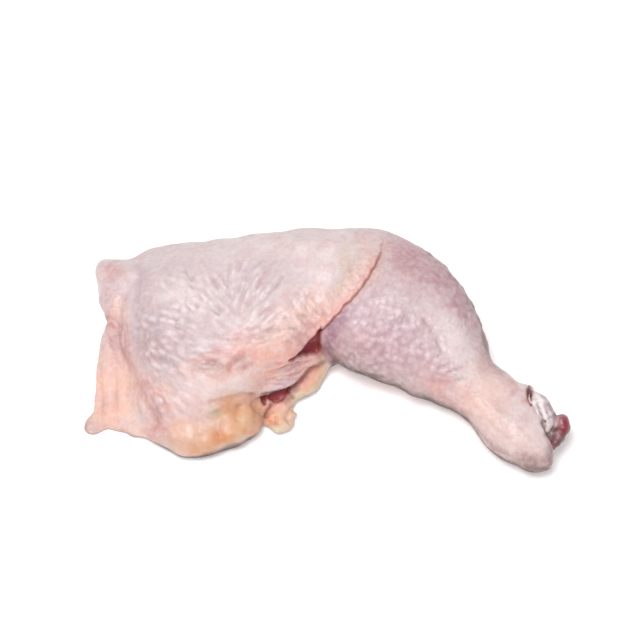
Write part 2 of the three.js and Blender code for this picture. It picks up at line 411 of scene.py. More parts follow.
def cells(surface, where, way, half_length, half_width, seed):
    """Small raised cells stretched along way, as fine creases divide skin: 0 on their borders, 1 inside them.
    Gives also a tone between 0 and 1 for each cell."""
    rng = np.random.default_rng(seed)
    across = sideways(surface, way)
    buckets = Buckets(surface.points, 2.6 * half_length)
    nearest = np.full(surface.count, CELL_REACH)
    second = np.full(surface.count, CELL_REACH)
    tone = np.zeros(surface.count)
    taken = np.zeros(surface.count, bool)
    uneven = CELL_WAVER * cloud(surface.points, 1.2 * half_width, seed)
    for index in scattered(surface, where, CELL_TRIES / (half_length * half_width), rng):
        own_tone = rng.uniform()
        if taken[index]:
            continue
        close, offset, square = buckets.near(surface.points[index])
        gap = np.hypot(offset @ way[index] / half_length, offset @ across[index] / half_width) + uneven[close]
        taken[close[gap < CELL_CLEARANCE]] = True
        own = close[gap < nearest[close]]
        tone[own] = own_tone
        second[close] = np.minimum(second[close], np.maximum(nearest[close], gap))
        nearest[close] = np.minimum(nearest[close], gap)
    return ramp(second - nearest, 0.0, BORDER), tone


FLOW_REACH = 16.0  # pixels over which a known direction holds


def ways_on(surface, flow):
    """Directions on the surface from a few known ones: pixels and degrees below level to the right."""
    normals = surface.normals()
    u, v = seen_at(surface.points)
    double = np.zeros(surface.count, complex)
    for at_u, at_v, degrees in flow:
        weight = np.exp(-((u - at_u) ** 2 + (v - at_v) ** 2) / (2 * FLOW_REACH ** 2)) + 1e-9
        double += weight * np.exp(2j * math.radians(degrees))
    angle = np.angle(double) / 2
    way = np.cos(angle)[:, None] * np.array([1.0, 0, 0]) - np.sin(angle)[:, None] * UPWARD
    way -= normals * np.einsum("ij,ij->i", normals, way)[:, None]
    return way / (np.linalg.norm(way, axis=1, keepdims=True) + 1e-9)


# How the fine wrinkles run on the skin: pixel, and degrees below level to the right.
SKIN_FLOW = ((188, 276, 50), (205, 305, 46), (224, 280, 68), (232, 308, 72), (243, 282, 92), (250, 308, 108),
             (268, 266, 118), (268, 298, 132), (290, 285, 126), (160, 325, 24), (200, 332, 24),
             (225, 335, 30), (165, 350, 28), (182, 366, 32), (206, 362, -6), (160, 392, 42), (250, 335, -20),
             (275, 340, -18), (160, 295, 45), (303, 322, 50), (345, 285, 45), (200, 400, 30), (240, 380, 20),
             (320, 262, 110), (380, 300, 118), (420, 340, 120), (450, 380, 20), (500, 410, 42),
             (125, 335, 60), (120, 400, 80))


def modified(mesh, name, kind, settings, inputs=None):
    """The plain mesh that a modifier makes of another. Inputs are a node tree's, by their identifiers."""
    draft = bpy.data.objects.new(name + "_draft", mesh)
    bpy.context.scene.collection.objects.link(draft)
    modifier = draft.modifiers.new("shaping", kind)
    for key, value in settings.items():
        setattr(modifier, key, value)
    for identifier, value in (inputs or {}).items():
        modifier[identifier] = value
    graph = bpy.context.evaluated_depsgraph_get()
    result = bpy.data.meshes.new_from_object(draft.evaluated_get(graph), depsgraph=graph)
    result.name = name
    bpy.data.objects.remove(draft)
    return result


def remeshed(mesh, name, voxel):
    """A closed mesh of even squares, of that size in metres, over a shape. Parts that overlap are joined."""
    fine = modified(mesh, name, "REMESH", {"mode": "VOXEL", "voxel_size": voxel})
    fine.materials.clear()
    return fine


def copy_of(node, name, voxel):
    """A fine closed mesh of a CAD node's shape."""
    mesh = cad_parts[node].data.copy()
    shape = bmesh.new()
    shape.from_mesh(mesh)
    bmesh.ops.remove_doubles(shape, verts=shape.verts, dist=0.01 * MM)
    shape.to_mesh(mesh)
    shape.free()
    return remeshed(mesh, name, voxel)


def with_lumps(mesh, lumps):
    """The mesh with round lumps added: pixels, heights of their tops and radii, both in millimetres."""
    shape = bmesh.new()
    shape.from_mesh(mesh)
    for (u, v), top, radius in lumps:
        middle = place(u, v, top + FORWARD[2] * radius)
        made = bmesh.ops.create_icosphere(shape, subdivisions=3, radius=radius * MM)
        bmesh.ops.translate(shape, verts=made["verts"], vec=Vector(middle) * MM)
    shape.to_mesh(mesh)
    shape.free()
    return mesh


def show(mesh, name, material, node):
    """Makes the finished piece: it rides on the root body and stands for a CAD node."""
    piece = bpy.data.objects.new(name, mesh)
    bpy.context.scene.collection.objects.link(piece)
    mesh.materials.clear()
    mesh.materials.append(material)
    for polygon in mesh.polygons:
        polygon.use_smooth = True
    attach(piece, "root")
    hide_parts(node)
    return piece


# Node trees


class Tree:
    """Adds nodes to a node tree, with their inputs given by name or number."""

    def __init__(self, tree):
        self.tree = tree

    def node(self, kind, values=None, **settings):
        """A new node. An input's value is a number, a colour or the socket that feeds it."""
        made = self.tree.nodes.new(kind)
        for key, value in settings.items():
            setattr(made, key, value)
        for key, value in (values or {}).items():
            socket = made.inputs[key]
            if isinstance(value, bpy.types.NodeSocket):
                self.tree.links.new(value, socket)
            else:
                socket.default_value = value
        return made

    def math(self, operation, a, b=0.0, c=0.0, clamp=False):
        """The result of an operation on numbers."""
        values = {0: a, 1: b, 2: c}
        return self.node("ShaderNodeMath", values, operation=operation, use_clamp=clamp).outputs[0]

    def vector(self, operation, a, b):
        """The result of an operation on two vectors, or on a vector and the number that scales it."""
        second = 3 if operation == "SCALE" else 1
        return self.node("ShaderNodeVectorMath", {0: a, second: b}, operation=operation).outputs[0]

    def here(self):
        """The place on the object."""
        return self.node("ShaderNodeTexCoord").outputs["Object"]

    def mark(self, name):
        """A value that is kept on the mesh."""
        return self.node("ShaderNodeAttribute", attribute_name=name).outputs["Fac"]

    def noise(self, at, size, detail=3.0, roughness=0.55):
        """A noise value from 0 to 1 whose lumps are about size millimetres, as a number or a socket."""
        if isinstance(size, bpy.types.NodeSocket):
            scale = self.math("DIVIDE", 1 / MM, size)
        else:
            scale = 1 / (size * MM)
        values = {"Vector": at, "Scale": scale, "Detail": detail, "Roughness": roughness}
        return self.node("ShaderNodeTexNoise", values).outputs["Fac"]

    def mix(self, share, a, b):
        """Two colours mixed."""
        return self.node("ShaderNodeMix", {0: share, 6: a, 7: b}, data_type="RGBA").outputs[2]

    def spread(self, value, low, high, to_low=0.0, to_high=1.0):
        """Runs smoothly from to_low, where the value is low, to to_high, where it is high."""
        values = {0: value, 1: low, 2: high, 3: to_low, 4: to_high}
        return self.node("ShaderNodeMapRange", values, interpolation_type="SMOOTHSTEP").outputs[0]


def group_of(name, inputs, outputs, kind="ShaderNodeTree"):
    """An empty node group with named inputs and outputs, and its two end nodes."""
    tree = bpy.data.node_groups.new(name, kind)
    for label, socket, default in inputs:
        made = tree.interface.new_socket(name=label, in_out="INPUT", socket_type=socket)
        if default is not None:
            made.default_value = default
    for label, socket in outputs:
        tree.interface.new_socket(name=label, in_out="OUTPUT", socket_type=socket)
    return tree, tree.nodes.new("NodeGroupInput"), tree.nodes.new("NodeGroupOutput")


def mottle_group():
    """Blotches of a tint that fade in and out, as blood and fat show unevenly through skin and gristle."""
    tree, start, end = group_of(
        "mottle",
        [("Colour", "NodeSocketColor", (1, 1, 1, 1)), ("Tint", "NodeSocketColor", (1, 0.5, 0.5, 1)),
         ("Size mm", "NodeSocketFloat", 6.0), ("Amount", "NodeSocketFloat", 0.3)],
        [("Colour", "NodeSocketColor")])
    nodes = Tree(tree)
    lumps = nodes.noise(nodes.here(), start.outputs["Size mm"], detail=4.0, roughness=0.5)
    share = nodes.math("MULTIPLY", nodes.spread(lumps, 0.42, 0.68), start.outputs["Amount"])
    tree.links.new(nodes.mix(share, start.outputs["Colour"], start.outputs["Tint"]), end.inputs["Colour"])


FILM_PATCHES = 5.0  # millimetres across a patch of skin that is wetter than the rest


def moist_film_group():
    """Moist tissue: how rough the surface film is, and fine relief under it."""
    tree, start, end = group_of(
        "moist film",
        [("Dry", "NodeSocketFloat", 0.5), ("Wet", "NodeSocketFloat", 0.3),
         ("Grain mm", "NodeSocketFloat", 0.5)],
        [("Roughness", "NodeSocketFloat"), ("Relief", "NodeSocketFloat")])
    nodes = Tree(tree)
    at = nodes.here()
    wetness = nodes.spread(nodes.noise(at, FILM_PATCHES), 0.4, 0.62)
    ends = {0: wetness, 2: start.outputs["Dry"], 3: start.outputs["Wet"]}
    grain = nodes.noise(at, start.outputs["Grain mm"], detail=2.0, roughness=0.5)
    tree.links.new(nodes.node("ShaderNodeMix", ends).outputs[0], end.inputs["Roughness"])
    tree.links.new(grain, end.inputs["Relief"])


def linear(colour):
    """A colour of 0 to 255 as the eye sees it, for a shader."""
    scaled = [c / 255 for c in colour]
    return tuple(c / 12.92 if c <= 0.04045 else ((c + 0.055) / 1.055) ** 2.4 for c in scaled)


def blank_material(name):
    """A material without nodes, and the tool that adds them."""
    material = bpy.data.materials.new(name)
    material.use_nodes = True
    material.node_tree.nodes.clear()
    return material, Tree(material.node_tree)


def end_in_shader(nodes, values):
    """Ends a material in a Principled shader with those inputs."""
    shader = nodes.node("ShaderNodeBsdfPrincipled", values)
    nodes.node("ShaderNodeOutputMaterial", {"Surface": shader.outputs[0]})


def end_in_tissue(nodes, colour, film, depth, settings):
    """Ends a material in moist tissue, with a bump of that depth in millimetres. Film has the values of the
    moist film, and settings those of the shader that are the same all over."""
    moist = nodes.node("ShaderNodeGroup", film, node_tree=bpy.data.node_groups["moist film"])
    relief = {"Height": moist.outputs["Relief"], "Distance": depth * MM, "Strength": 1.0}
    bump = nodes.node("ShaderNodeBump", relief)
    end_in_shader(nodes, {"Base Color": colour, "Roughness": moist.outputs["Roughness"],
                          "Normal": bump.outputs[0], **settings})


class Layers:
    """Colours laid over each other in a material."""

    def __init__(self, nodes, colours, plain):
        self.nodes = nodes
        self.colours = colours
        self.colour = self.paint(plain)

    def paint(self, name):
        """A socket that gives one of the object's colours."""
        made = self.nodes.node("ShaderNodeRGB").outputs[0]
        made.default_value = (*getattr(self.colours, name), 1)
        return made

    def tint(self, name, share):
        """Lays a colour over the others where share is high."""
        self.colour = self.nodes.mix(share, self.colour, self.paint(name))

    def mottle(self, name, size, amount):
        """Lays blotches of a colour over the others, of that size in millimetres."""
        values = {"Colour": self.colour, "Tint": (*getattr(self.colours, name), 1), "Size mm": size,
                  "Amount": amount}
        made = self.nodes.node("ShaderNodeGroup", values, node_tree=bpy.data.node_groups["mottle"])
        self.colour = made.outputs["Colour"]


# Blotches over the skin's tints: colour, size in millimetres and amount.
SKIN_BLOTCHES = (("blush", 8.0, 0.35), ("pale", 2.4, 0.3), ("crease", 1.6, 0.12))
BREAKUP_SIZE = 2.8  # millimetres across the noise that frays the edges of tints
BREAKUP = 0.5  # how far it frays them


def skin_material(colours):
    """Raw skin: its tints come from marks on the mesh, with their edges frayed by fine noise."""
    material, nodes = blank_material("raw skin")
    noise = nodes.noise(nodes.here(), BREAKUP_SIZE)
    breakup = nodes.math("MULTIPLY", nodes.math("SUBTRACT", noise, 0.5), BREAKUP)

    def mark(name, amount=1.0):
        value = nodes.mark(name)
        edge = nodes.math("MULTIPLY", nodes.math("MULTIPLY", value, nodes.math("SUBTRACT", 1.0, value)), 4.0)
        broken = nodes.math("MULTIPLY_ADD", breakup, edge, value)
        return nodes.math("MULTIPLY", broken, amount, clamp=True)

    layers = Layers(nodes, colours, "skin")
    layers.mottle("pale", 6.0, 0.6)
    for name in TINTS:
        layers.tint(name, mark(name))
    on_skin = nodes.math("SUBTRACT", 1.0, mark("fat", 0.85))
    for name, size, amount in SKIN_BLOTCHES:
        layers.mottle(name, size, nodes.math("MULTIPLY", on_skin, amount))
    # The skin between the goose bumps is darker: partly its own tone and partly painted shade
    bumps = mark("bump", 0.42)
    between = nodes.math("MULTIPLY", mark("goose", 0.5), nodes.math("SUBTRACT", 1.0, bumps))
    layers.tint("bump_ground", between)
    # Painted shade in the bottoms of the fine creases
    layers.tint("crease", mark("crease", 0.8))
    # Lighter tops: the goose bumps' paler skin with painted light, and painted light on ridges and dabs
    layers.tint("bump_top", nodes.math("MAXIMUM", bumps, mark("ridge", 0.85)))
    # Bare flesh, then painted shade in the deep folds, where the meat meets the table and in the gaps
    for name in ("flesh", "fold_shade", "painted_shade"):
        layers.tint(name, mark(name))
    end_in_tissue(nodes, layers.colour, {"Dry": 0.52, "Wet": 0.36, "Grain mm": 0.7}, 0.12,
                  {"Subsurface Weight": 0.12, "Subsurface Radius": (1.0, 0.45, 0.3),
                   "Subsurface Scale": 0.7 * MM, "Coat Weight": 0.12, "Coat Roughness": 0.28,
                   "Specular IOR Level": 0.4})
    return material


def gristle_material(colours):
    """Wet cartilage and bone, stained red where marrow shows. Its blotches fade where it is red."""
    material, nodes = blank_material("gristle")
    layers = Layers(nodes, colours, "gristle")
    for name in KNUCKLE_MARKS:
        layers.tint(name, nodes.mark(name))
    layers.mottle("blush", 2.5, nodes.math("MULTIPLY_ADD", nodes.mark("blood"), -0.2, 0.2, clamp=True))
    end_in_tissue(nodes, layers.colour, {"Dry": 0.5, "Wet": 0.34, "Grain mm": 0.9}, 0.1,
                  {"Subsurface Weight": 0.2, "Subsurface Radius": (1.0, 0.6, 0.5),
                   "Subsurface Scale": 1.0 * MM, "Coat Weight": 0.12, "Coat Roughness": 0.25})
    return material


MOST_BUMPS = 4e5  # goose bumps to a square metre, before those too close to others go
WARP_SIZE = 1.6  # millimetres across the noise that makes the bumps' outlines uneven
WARP = 1.7  # millimetres by which it moves them
VARIETY_SIZE = 4.0  # millimetres across the noise that makes some bumps larger than others


def bump_rise(nodes, points, radius, where):
    """How high the skin rises round points, from 0 to 1. The bumps are uneven in size, height and outline."""
    place_here = nodes.node("GeometryNodeInputPosition").outputs[0]
    warp = nodes.node("ShaderNodeTexNoise", {"Scale": 1 / (WARP_SIZE * MM), "Detail": 1.0}).outputs["Color"]
    warp = nodes.vector("SCALE", nodes.vector("SUBTRACT", warp, (0.5, 0.5, 0.5)), WARP * MM)
    warped = {0: points, "Sample Position": nodes.vector("ADD", place_here, warp)}
    nearest = nodes.node("GeometryNodeProximity", warped, target_element="POINTS").outputs["Distance"]
    vary = nodes.node("ShaderNodeTexNoise", {"Scale": 1 / (VARIETY_SIZE * MM)}).outputs["Fac"]
    own_radius = nodes.math("MULTIPLY", radius, nodes.spread(vary, 0.3, 0.7, 0.75, 1.2))
    rise = nodes.spread(nodes.math("DIVIDE", nearest, own_radius), 1.0, 0.0)
    rise = nodes.math("MULTIPLY", rise, nodes.spread(vary, 0.35, 0.62, 0.4, 1.0))
    return nodes.math("MULTIPLY", rise, nodes.spread(where, 0.0, 0.85, 0.15, 1.0))


def bump_tree():
    """Geometry Nodes: goose bumps, spaced over the marked skin, each a low round rise."""
    tree, start, end = group_of(
        "goose bumps",
        [("Geometry", "NodeSocketGeometry", None), ("Spacing", "NodeSocketFloat", 3.0 * MM),
         ("Radius", "NodeSocketFloat", 2.9 * MM), ("Height", "NodeSocketFloat", 0.5 * MM),
         ("Seed", "NodeSocketInt", 3), ("Material", "NodeSocketMaterial", None)],
        [("Geometry", "NodeSocketGeometry")], kind="GeometryNodeTree")
    nodes = Tree(tree)
    skin = start.outputs["Geometry"]
    named = nodes.node("GeometryNodeInputNamedAttribute", {"Name": "goose"}, data_type="FLOAT")
    where = named.outputs["Attribute"]
    chosen = nodes.spread(where, 0.08, 0.3)
    spacing = {"Mesh": skin, "Distance Min": start.outputs["Spacing"], "Density Max": MOST_BUMPS,
               "Density Factor": chosen, "Seed": start.outputs["Seed"]}
    thrown = nodes.node("GeometryNodeDistributePointsOnFaces", spacing, distribute_method="POISSON")
    rise = bump_rise(nodes, thrown.outputs["Points"], start.outputs["Radius"], where)
    rise = nodes.math("MULTIPLY", rise, chosen)
    kept = nodes.node("GeometryNodeStoreNamedAttribute", {"Geometry": skin, "Name": "bump", "Value": rise},
                      data_type="FLOAT", domain="POINT")
    amount = nodes.math("MULTIPLY", rise, start.outputs["Height"])
    offset = nodes.vector("SCALE", nodes.node("GeometryNodeInputNormal").outputs[0], amount)
    moved = nodes.node("GeometryNodeSetPosition", {"Geometry": kept.outputs[0], "Offset": offset})
    realized = nodes.node("GeometryNodeRealizeInstances", {0: moved.outputs[0]})
    coated = nodes.node("GeometryNodeSetMaterial",
                        {"Geometry": realized.outputs[0], "Material": start.outputs["Material"]})
    tree.links.new(coated.outputs[0], end.inputs["Geometry"])
    return tree


def with_bumps(mesh, sizes, material):
    """The skin with its goose bumps raised."""
    group = bump_tree()
    values = {"Spacing": sizes.bump_spacing, "Radius": sizes.bump_radius, "Height": sizes.bump_height,
              "Seed": sizes.bump_seed, "Material": material}
    inputs = {item.identifier: values[item.name] for item in group.interface.items_tree
              if item.in_out == "INPUT" and item.name in values}
    return modified(mesh, "bumped", "NODES", {"node_group": group}, inputs)


def thinned(mesh, name, most):
    """The mesh with at most that many triangles, and its marks read again from the full one."""
    triangles = 2 * len(mesh.vertices)
    thin = modified(mesh, name, "DECIMATE", {"ratio": min(1.0, most / triangles)})
    full = KDTree(len(mesh.vertices))
    for index, point in enumerate(coordinates(mesh)):
        full.insert(point, index)
    full.balance()
    nearest = [full.find(point)[1] for point in coordinates(thin)]
    for mark in mesh.attributes:
        if mark.data_type == "FLOAT" and mark.domain == "POINT":
            values = np.empty(len(mesh.vertices), np.float32)
            mark.data.foreach_get("value", values)
            thin.attributes[mark.name].data.foreach_set("value", values[nearest])
    return thin


# Places where the softened shape is nudged out, or in, to the real outline: middle and radii in pixels, and
# millimetres.
NUDGES = (((98, 267), (12, 12), 2.0), ((99, 295), (8, 24), 1.0), ((107, 324), (8, 8), 1.6),
          ((88, 426), (9, 9), 0.9), ((98, 370), (8, 40), 0.8), ((330, 225), (26, 12), -1.6),
          ((372, 228), (20, 10), 1.3), ((482, 345), (10, 30), 1.0), ((505, 378), (24, 14), 1.0),
          ((322, 378), (10, 12), -0.9))

# Places where it is moved over the table to the real outline: middle and radii in pixels, and pixels to the
# right and towards the viewer.
SHIFTS = (((116, 260), (18, 10), 0, -3.0), ((160, 247), (16, 8), 0, -1.0), ((116, 438), (15, 12), 0, -8.0),
          ((160, 452), (16, 10), 0, -3.0), ((234, 456), (26, 14), 0, -3.9), ((252, 440), (12, 12), -1, -2.0),
          ((328, 384), (10, 12), -4.0, -3.0), ((316, 400), (14, 8), -3.0, -3.5),
          ((299, 410), (8, 9), -3.5, 0), ((528, 389), (8, 8), 3.5, -1.5), ((531, 400), (7, 9), 3.5, 0),
          ((546, 430), (8, 12), -2.5, 0), ((272, 430), (8, 8), 1.0, 1.0), ((542, 472), (24, 8), 1.0, 3.5),
          ((459, 421), (19, 18), 2.0, -4.8), ((385, 388), (38, 12), 0, -1.2),
          ((437, 404), (22, 17), 0, -3.5), ((295, 413), (2.6, 2.6), 5.0, 0), ((88, 430), (8, 6), -1.0, 1.0),
          ((526, 388), (9, 7), 2.5, -3.0), ((318, 393), (6, 6), -2.0, -1.0), ((300, 404), (6, 6), -3.0, 0))

# Where edges stay crisp: in the knee pit, at the cut hock and at the flap's rim, as soft ovals
CRISP = (((292, 392), (46, 36), 0, 0.8), ((544, 426), (26, 56), 20, 0.98), ((98, 400), (24, 60), 0, 0.6),
         ((98, 285), (12, 30), 0, 0.5))

FACET_ROUNDS = 30  # rounds of smoothing that take the CAD shape's facets away
STEP_ROUNDS = 8  # rounds that take the steps of a remeshed shape away

# Places that are rounded more: rounds, middle and radii in pixels. The last is rounded after all has moved.
ROUNDED = ((60, (368, 240), (28, 26)), (40, (323, 352), (9, 14)))
ROUNDED_LAST = (20, (226, 450), (40, 16))

# Thin pieces that lie nearly flat: the loose flap, and the tags of fat in the knee pit. Middle and radii in
# pixels, and the share of their height that goes.
FLATTENED = (((96, 418), (26, 24), 0.45), ((112, 370), (22, 40), 0.2), ((316, 386), (18, 16), 0.35),
             ((284, 418), (18, 20), 0.45))


def soften(surface):
    """Rounds the CAD shape's facets away, less where real edges are crisp, and moves it to the outline."""
    u, v = seen_at(surface.points)
    surface.smooth(FACET_ROUNDS, 1 - ovals(u, v, CRISP))
    for rounds, middle, radii in ROUNDED:
        surface.smooth(rounds, patch(u, v, middle, radii))
    rise = np.zeros(surface.count)
    for middle, radii, amount in NUDGES:
        rise += amount * patch(u, v, middle, radii)
    surface.push(rise)
    for middle, radii, right, nearer in SHIFTS:
        share = PIXEL * patch(u, v, middle, radii)
        surface.points[:, 0] += share * right
        surface.points[:, 1] -= share * nearer / math.sin(ELEVATION)
    rounds, middle, radii = ROUNDED_LAST
    surface.smooth(rounds, patch(u, v, middle, radii))
    flat = np.zeros(surface.count)
    for middle, radii, amount in FLATTENED:
        flat += amount * patch(u, v, middle, radii)
    surface.points[:, 2] *= 1 - flat
    surface.write()


# Grooves in the skin: line, depth in millimetres (negative for a ridge), half width in pixels, lift beside it
# on its right in millimetres, and how much painted shade darkens its bottom
GROOVES = (
    (FAT_FOLD, 0.6, 2.2, 0.4, 0.12),
    (FLAP_CREASE, 1.0, 3.6, 0.9, 0.0),
    (FLAP_RUMPLE, 0.7, 2.2, 0.5, 0.0),
    (FLAP_SEAM, 0.9, 2.6, 0.6, 0.0),
    (LOBE_CRACK, 1.2, 2.4, 0.0, 0.85),
    (THIGH_DIMPLE, 0.7, 5.0, 0.3, 0.0),
    (SHORT_CREASE, 0.6, 1.6, 0.0, 0.15),
    (WEB_FOOT, 0.8, 2.8, 0.0, 0.9),
    (VALLEY, 0.7, 3.4, 0.2, 0.0),
    (PIT_FOLD, 0.5, 3.4, 0.0, 0.6),
    (DARK_HOLE, 0.9, 3.0, 0.0, 1.0),
    (HOCK_NICK, 0.5, 3.2, 0.0, 1.0),
    (WEB_TOP, -0.6, 2.0, 0.0, 0.0),
    (WEB_RIM, -0.5, 1.6, 0.0, 0.0),
    (BACK_FOLD, 0.5, 2.2, -0.5, 0.0),
    *((line, -0.35, 2.0, 0.0, 0.0) for line in WEB_RIDGES),
    *((line, 0.15, 1.5, 0.0, 0.15) for line in WEB_FURROWS),
    *((line, 0.45, 3.0, 0.0, 0.1) for line in FAT_CREASES),
    *((line, 0.45, 1.4, 0.2, 0.2) for line in LOBE_LINES),
    *((line, 0.6, 1.5, 0.3, 0.0) for line in LONG_CREASES),
    *((line, 0.35, 2.0, 0.1, 0.0) for line in GREY_STROKES),
)

# Openings down to bare flesh: outline and depth in millimetres. The flesh fades between two rows of pixels.
CLEFTS = ((UPPER_CLEFT, 1.9), (LOWER_CLEFT, 1.5))
CLEFT_FADES = (405.5, 399.5)
FIBRES = np.array([1.0, 0.35, 0.35])  # the flesh's fibres run away from the viewer

# Soft unevenness of all the skin: height and size of its lumps in millimetres, and seed
UNEVENNESS = ((0.55, 17, 1), (0.3, 7, 2))

# Knobbly places, in the knee pit, at the flap's root, on the fat and on the drumstick's back: height and size
# of the lumps in millimetres, seed, octaves and soft ovals
KNOBBLY = (
    (0.55, 3.2, 7, 2, (((283, 412), (22, 22), 0, 0.7), ((312, 384), (20, 16), 0, 0.5),
                       ((112, 312), (20, 20), 0, 0.5))),
    (0.4, 5.5, 9, 1, (((225, 427), (50, 28), 0, 1.0),)),
    (0.5, 3.4, 8, 1, (((455, 285), (64, 22), 52, 1.0),)),
)

# Painted shade, dark brown, in the creases round the knee pit: middle, radii and turn in pixels, and
# strength.
PIT_SHADES = (((296, 389), (6, 4), -50, 0.5), ((273, 402), (5, 4), 0, 0.55), ((286, 399), (5, 4), -40, 0.5),
          ((321, 354), (5, 5), 0, 0.5), ((321, 364), (6, 3), -30, 0.65), ((334, 364.5), (6, 3), 30, 0.75),
          ((301, 351), (5, 2), -48, 0.35))

# Rounded lobes of fat, and soft swellings of the skin: middle, radii and turn in pixels, and height.
LOBES = (((229, 417), (9, 12), 10, 0.9), ((208, 440), (9, 12), 20, 0.9), ((247, 412), (7, 11), 0, 0.8),
         ((188, 436), (9, 14), 30, 0.8), ((236, 436), (10, 9), -30, 0.9), ((314, 378), (10, 4), -50, 0.5),
         ((302, 391), (7, 4), -40, 0.5), ((279, 411), (7, 4), -30, 0.4), ((297, 413), (4, 2.5), 0, 0.5),
         ((110, 300), (12, 16), 0, 0.8), ((352, 276), (5, 5), 0, 0.5), ((361, 265), (4, 5), 0, 0.5),
         ((345, 290), (5, 4), 0, 0.5), ((300, 318), (10, 24), -40, 0.4), ((126, 352), (5, 14), -20, 0.7),
         ((118, 336), (5, 8), 0, 0.6), ((265, 352), (26, 12), -12, 0.7), ((200, 300), (14, 26), -40, 0.5),
         ((285, 290), (14, 24), 40, 0.4))


def hem_relief(points, u, v, facing):
    """The edge of the thigh's skin lies on the drumstick, as a thin lip with a groove under it. Gives its
    height, and the painted shade in the groove. Heights are in millimetres, and reaches in pixels."""
    gap, share = along(u, v, HEM)
    gap += 0.7 * cloud(points, 2.6, 3) + 0.9 * cloud(points, 8, 6)
    ends = ramp(share, -0.02, 0.05) * ramp(share, 1.0, 0.72) * facing
    on_thigh = ramp(gap, -0.8, 0.8)
    away = np.abs(gap)
    swell = 0.55 * np.exp(-away / 12)
    lip = 0.35 * band(gap, 2.8, 2.2)
    groove = 0.8 * np.exp(-away / 1.2)
    hollow = 0.7 * np.exp(-away / 9)
    height = ends * (on_thigh * (swell + lip) - (1 - on_thigh) * (groove + hollow))
    return height, 0.75 * ends * band(gap, -0.3, 0.95)


def groove_relief(points, u, v, facing):
    """The grooves' height, and the painted shade in their bottoms."""
    height = np.zeros(len(points))
    bottom_shade = np.zeros(len(points))
    waver = 0.7 * cloud(points, 4, 4)
    # The last column of each groove is the painted shade in its bottom
    for line, depth, width, lift, stain in GROOVES:
        gap, share = along(u, v, line, reach=5 * width)
        gap += waver
        ends = ramp(share, 0.0, 0.14) * ramp(share, 1.0, 0.86) * facing
        height -= depth * ends * band(gap, 0, width)
        height += lift * ends * band(gap, -2.6 * width, 2.2 * width)
        bottom_shade = np.maximum(bottom_shade, stain * ends * band(gap, 0, 0.75 * width))
    return height, bottom_shade


def cleft_relief(points, u, v, facing):
    """The height of the openings down to fibrous flesh, and where flesh is bare."""
    height = np.zeros(len(points))
    bare = np.zeros(len(points))
    fibres = 0.5 * cloud(points * FIBRES, 1.6, 5)
    for outline, depth in CLEFTS:
        inward = inside(u, v, outline) + 0.5 * cloud(points, 2.5, 6)
        height -= ramp(inward, -1.2, 3.2) * facing * (depth + fibres)
        bare = np.maximum(bare, ramp(inward, -1.4, 1.8) * ramp(v, *CLEFT_FADES) * facing)
    return height, bare


def shape_folds(surface):
    """Models the larger folds of skin, the clefts between them, and the lobes of fat."""
    points = surface.points
    u, v = seen_at(points)
    facing = ramp(-(surface.normals() @ FORWARD), 0.0, 0.3)
    lying = ramp(points[:, 2], 0.0, 3.0)
    height = lying * sum(rise * cloud(points, size, seed) for rise, size, seed in UNEVENNESS)
    for rise, size, seed, octaves, spots in KNOBBLY:
        height += rise * cloud(points, size, seed, octaves) * ovals(u, v, spots)
    hem_height, hem_shade = hem_relief(points, u, v, facing)
    groove_height, groove_shade = groove_relief(points, u, v, facing)
    cleft_height, bare = cleft_relief(points, u, v, facing)
    height += hem_height + groove_height + cleft_height
    for middle, radii, turn, rise in LOBES:
        height += rise * facing * patch(u, v, middle, radii, turn)
    surface.push(height * lying)
    surface.mark("flesh", bare)
    # Painted shade in the deep folds, in the groove under the hem's lip and in the creases round the knee pit
    surface.mark("fold_shade", np.maximum.reduce([facing * ovals(u, v, PIT_SHADES), hem_shade, groove_shade]))


# Where the fine wrinkles are, as soft ovals of pixels
THIGH_WAVES = (((226, 282), (66, 30), 0, 0.8), ((184, 300), (34, 24), 0, 0.6),
               ((172, 345), (46, 40), 20, 0.9), ((200, 372), (40, 16), 0, 0.8),
               ((178, 392), (36, 24), 0, 0.6), ((280, 322), (30, 18), -30, 0.4))
WIDE_WAVES = (((240, 300), (95, 60), 0, 0.5), ((175, 350), (60, 60), 0, 0.6),
              ((300, 318), (34, 26), -40, 1.0), ((345, 285), (20, 34), 40, 0.8))
WEB_WAVES = (((286, 378), (30, 8), -20, 0.8),)
FLAP_WAVES = (((112, 385), (32, 60), 0, 0.8),)
RUMPLED_FLAP = (((122, 336), (13, 20), 0, 1.0),)
THIGH_CELLS = (((222, 290), (70, 42), 0, 0.8), ((184, 298), (36, 22), 0, 0.7),
               ((172, 345), (44, 44), 20, 1.0), ((190, 385), (46, 30), 0, 0.9),
               ((285, 300), (36, 40), 20, 0.7), ((250, 335), (50, 24), -10, 0.5))
EDGE_CELLS = (((265, 258), (130, 34), -3, 0.6), ((150, 290), (26, 40), 0, 0.5),
              ((300, 318), (40, 30), -40, 0.6), ((350, 272), (20, 36), 40, 0.9),
              ((115, 310), (22, 30), 0, 0.7))
DRUMSTICK_CELLS = (((400, 300), (70, 60), 40, 0.8), ((470, 345), (40, 70), -30, 0.6),
                   ((500, 410), (60, 50), 40, 0.5), ((105, 380), (26, 60), 0, 0.4),
                   ((360, 355), (60, 24), 20, 0.6))
THIGH_SPOTS = (((228, 290), (66, 40), 0, 0.9), ((188, 297), (32, 20), 10, 1.5),
               ((172, 345), (46, 44), 20, 1.2), ((205, 370), (44, 20), 0, 1.0),
               ((185, 400), (44, 30), 0, 0.8), ((300, 318), (36, 26), -40, 0.7),
               ((270, 320), (34, 22), 0, 0.7), ((345, 280), (24, 34), 40, 0.5),
               ((250, 260), (100, 30), 0, 0.4))
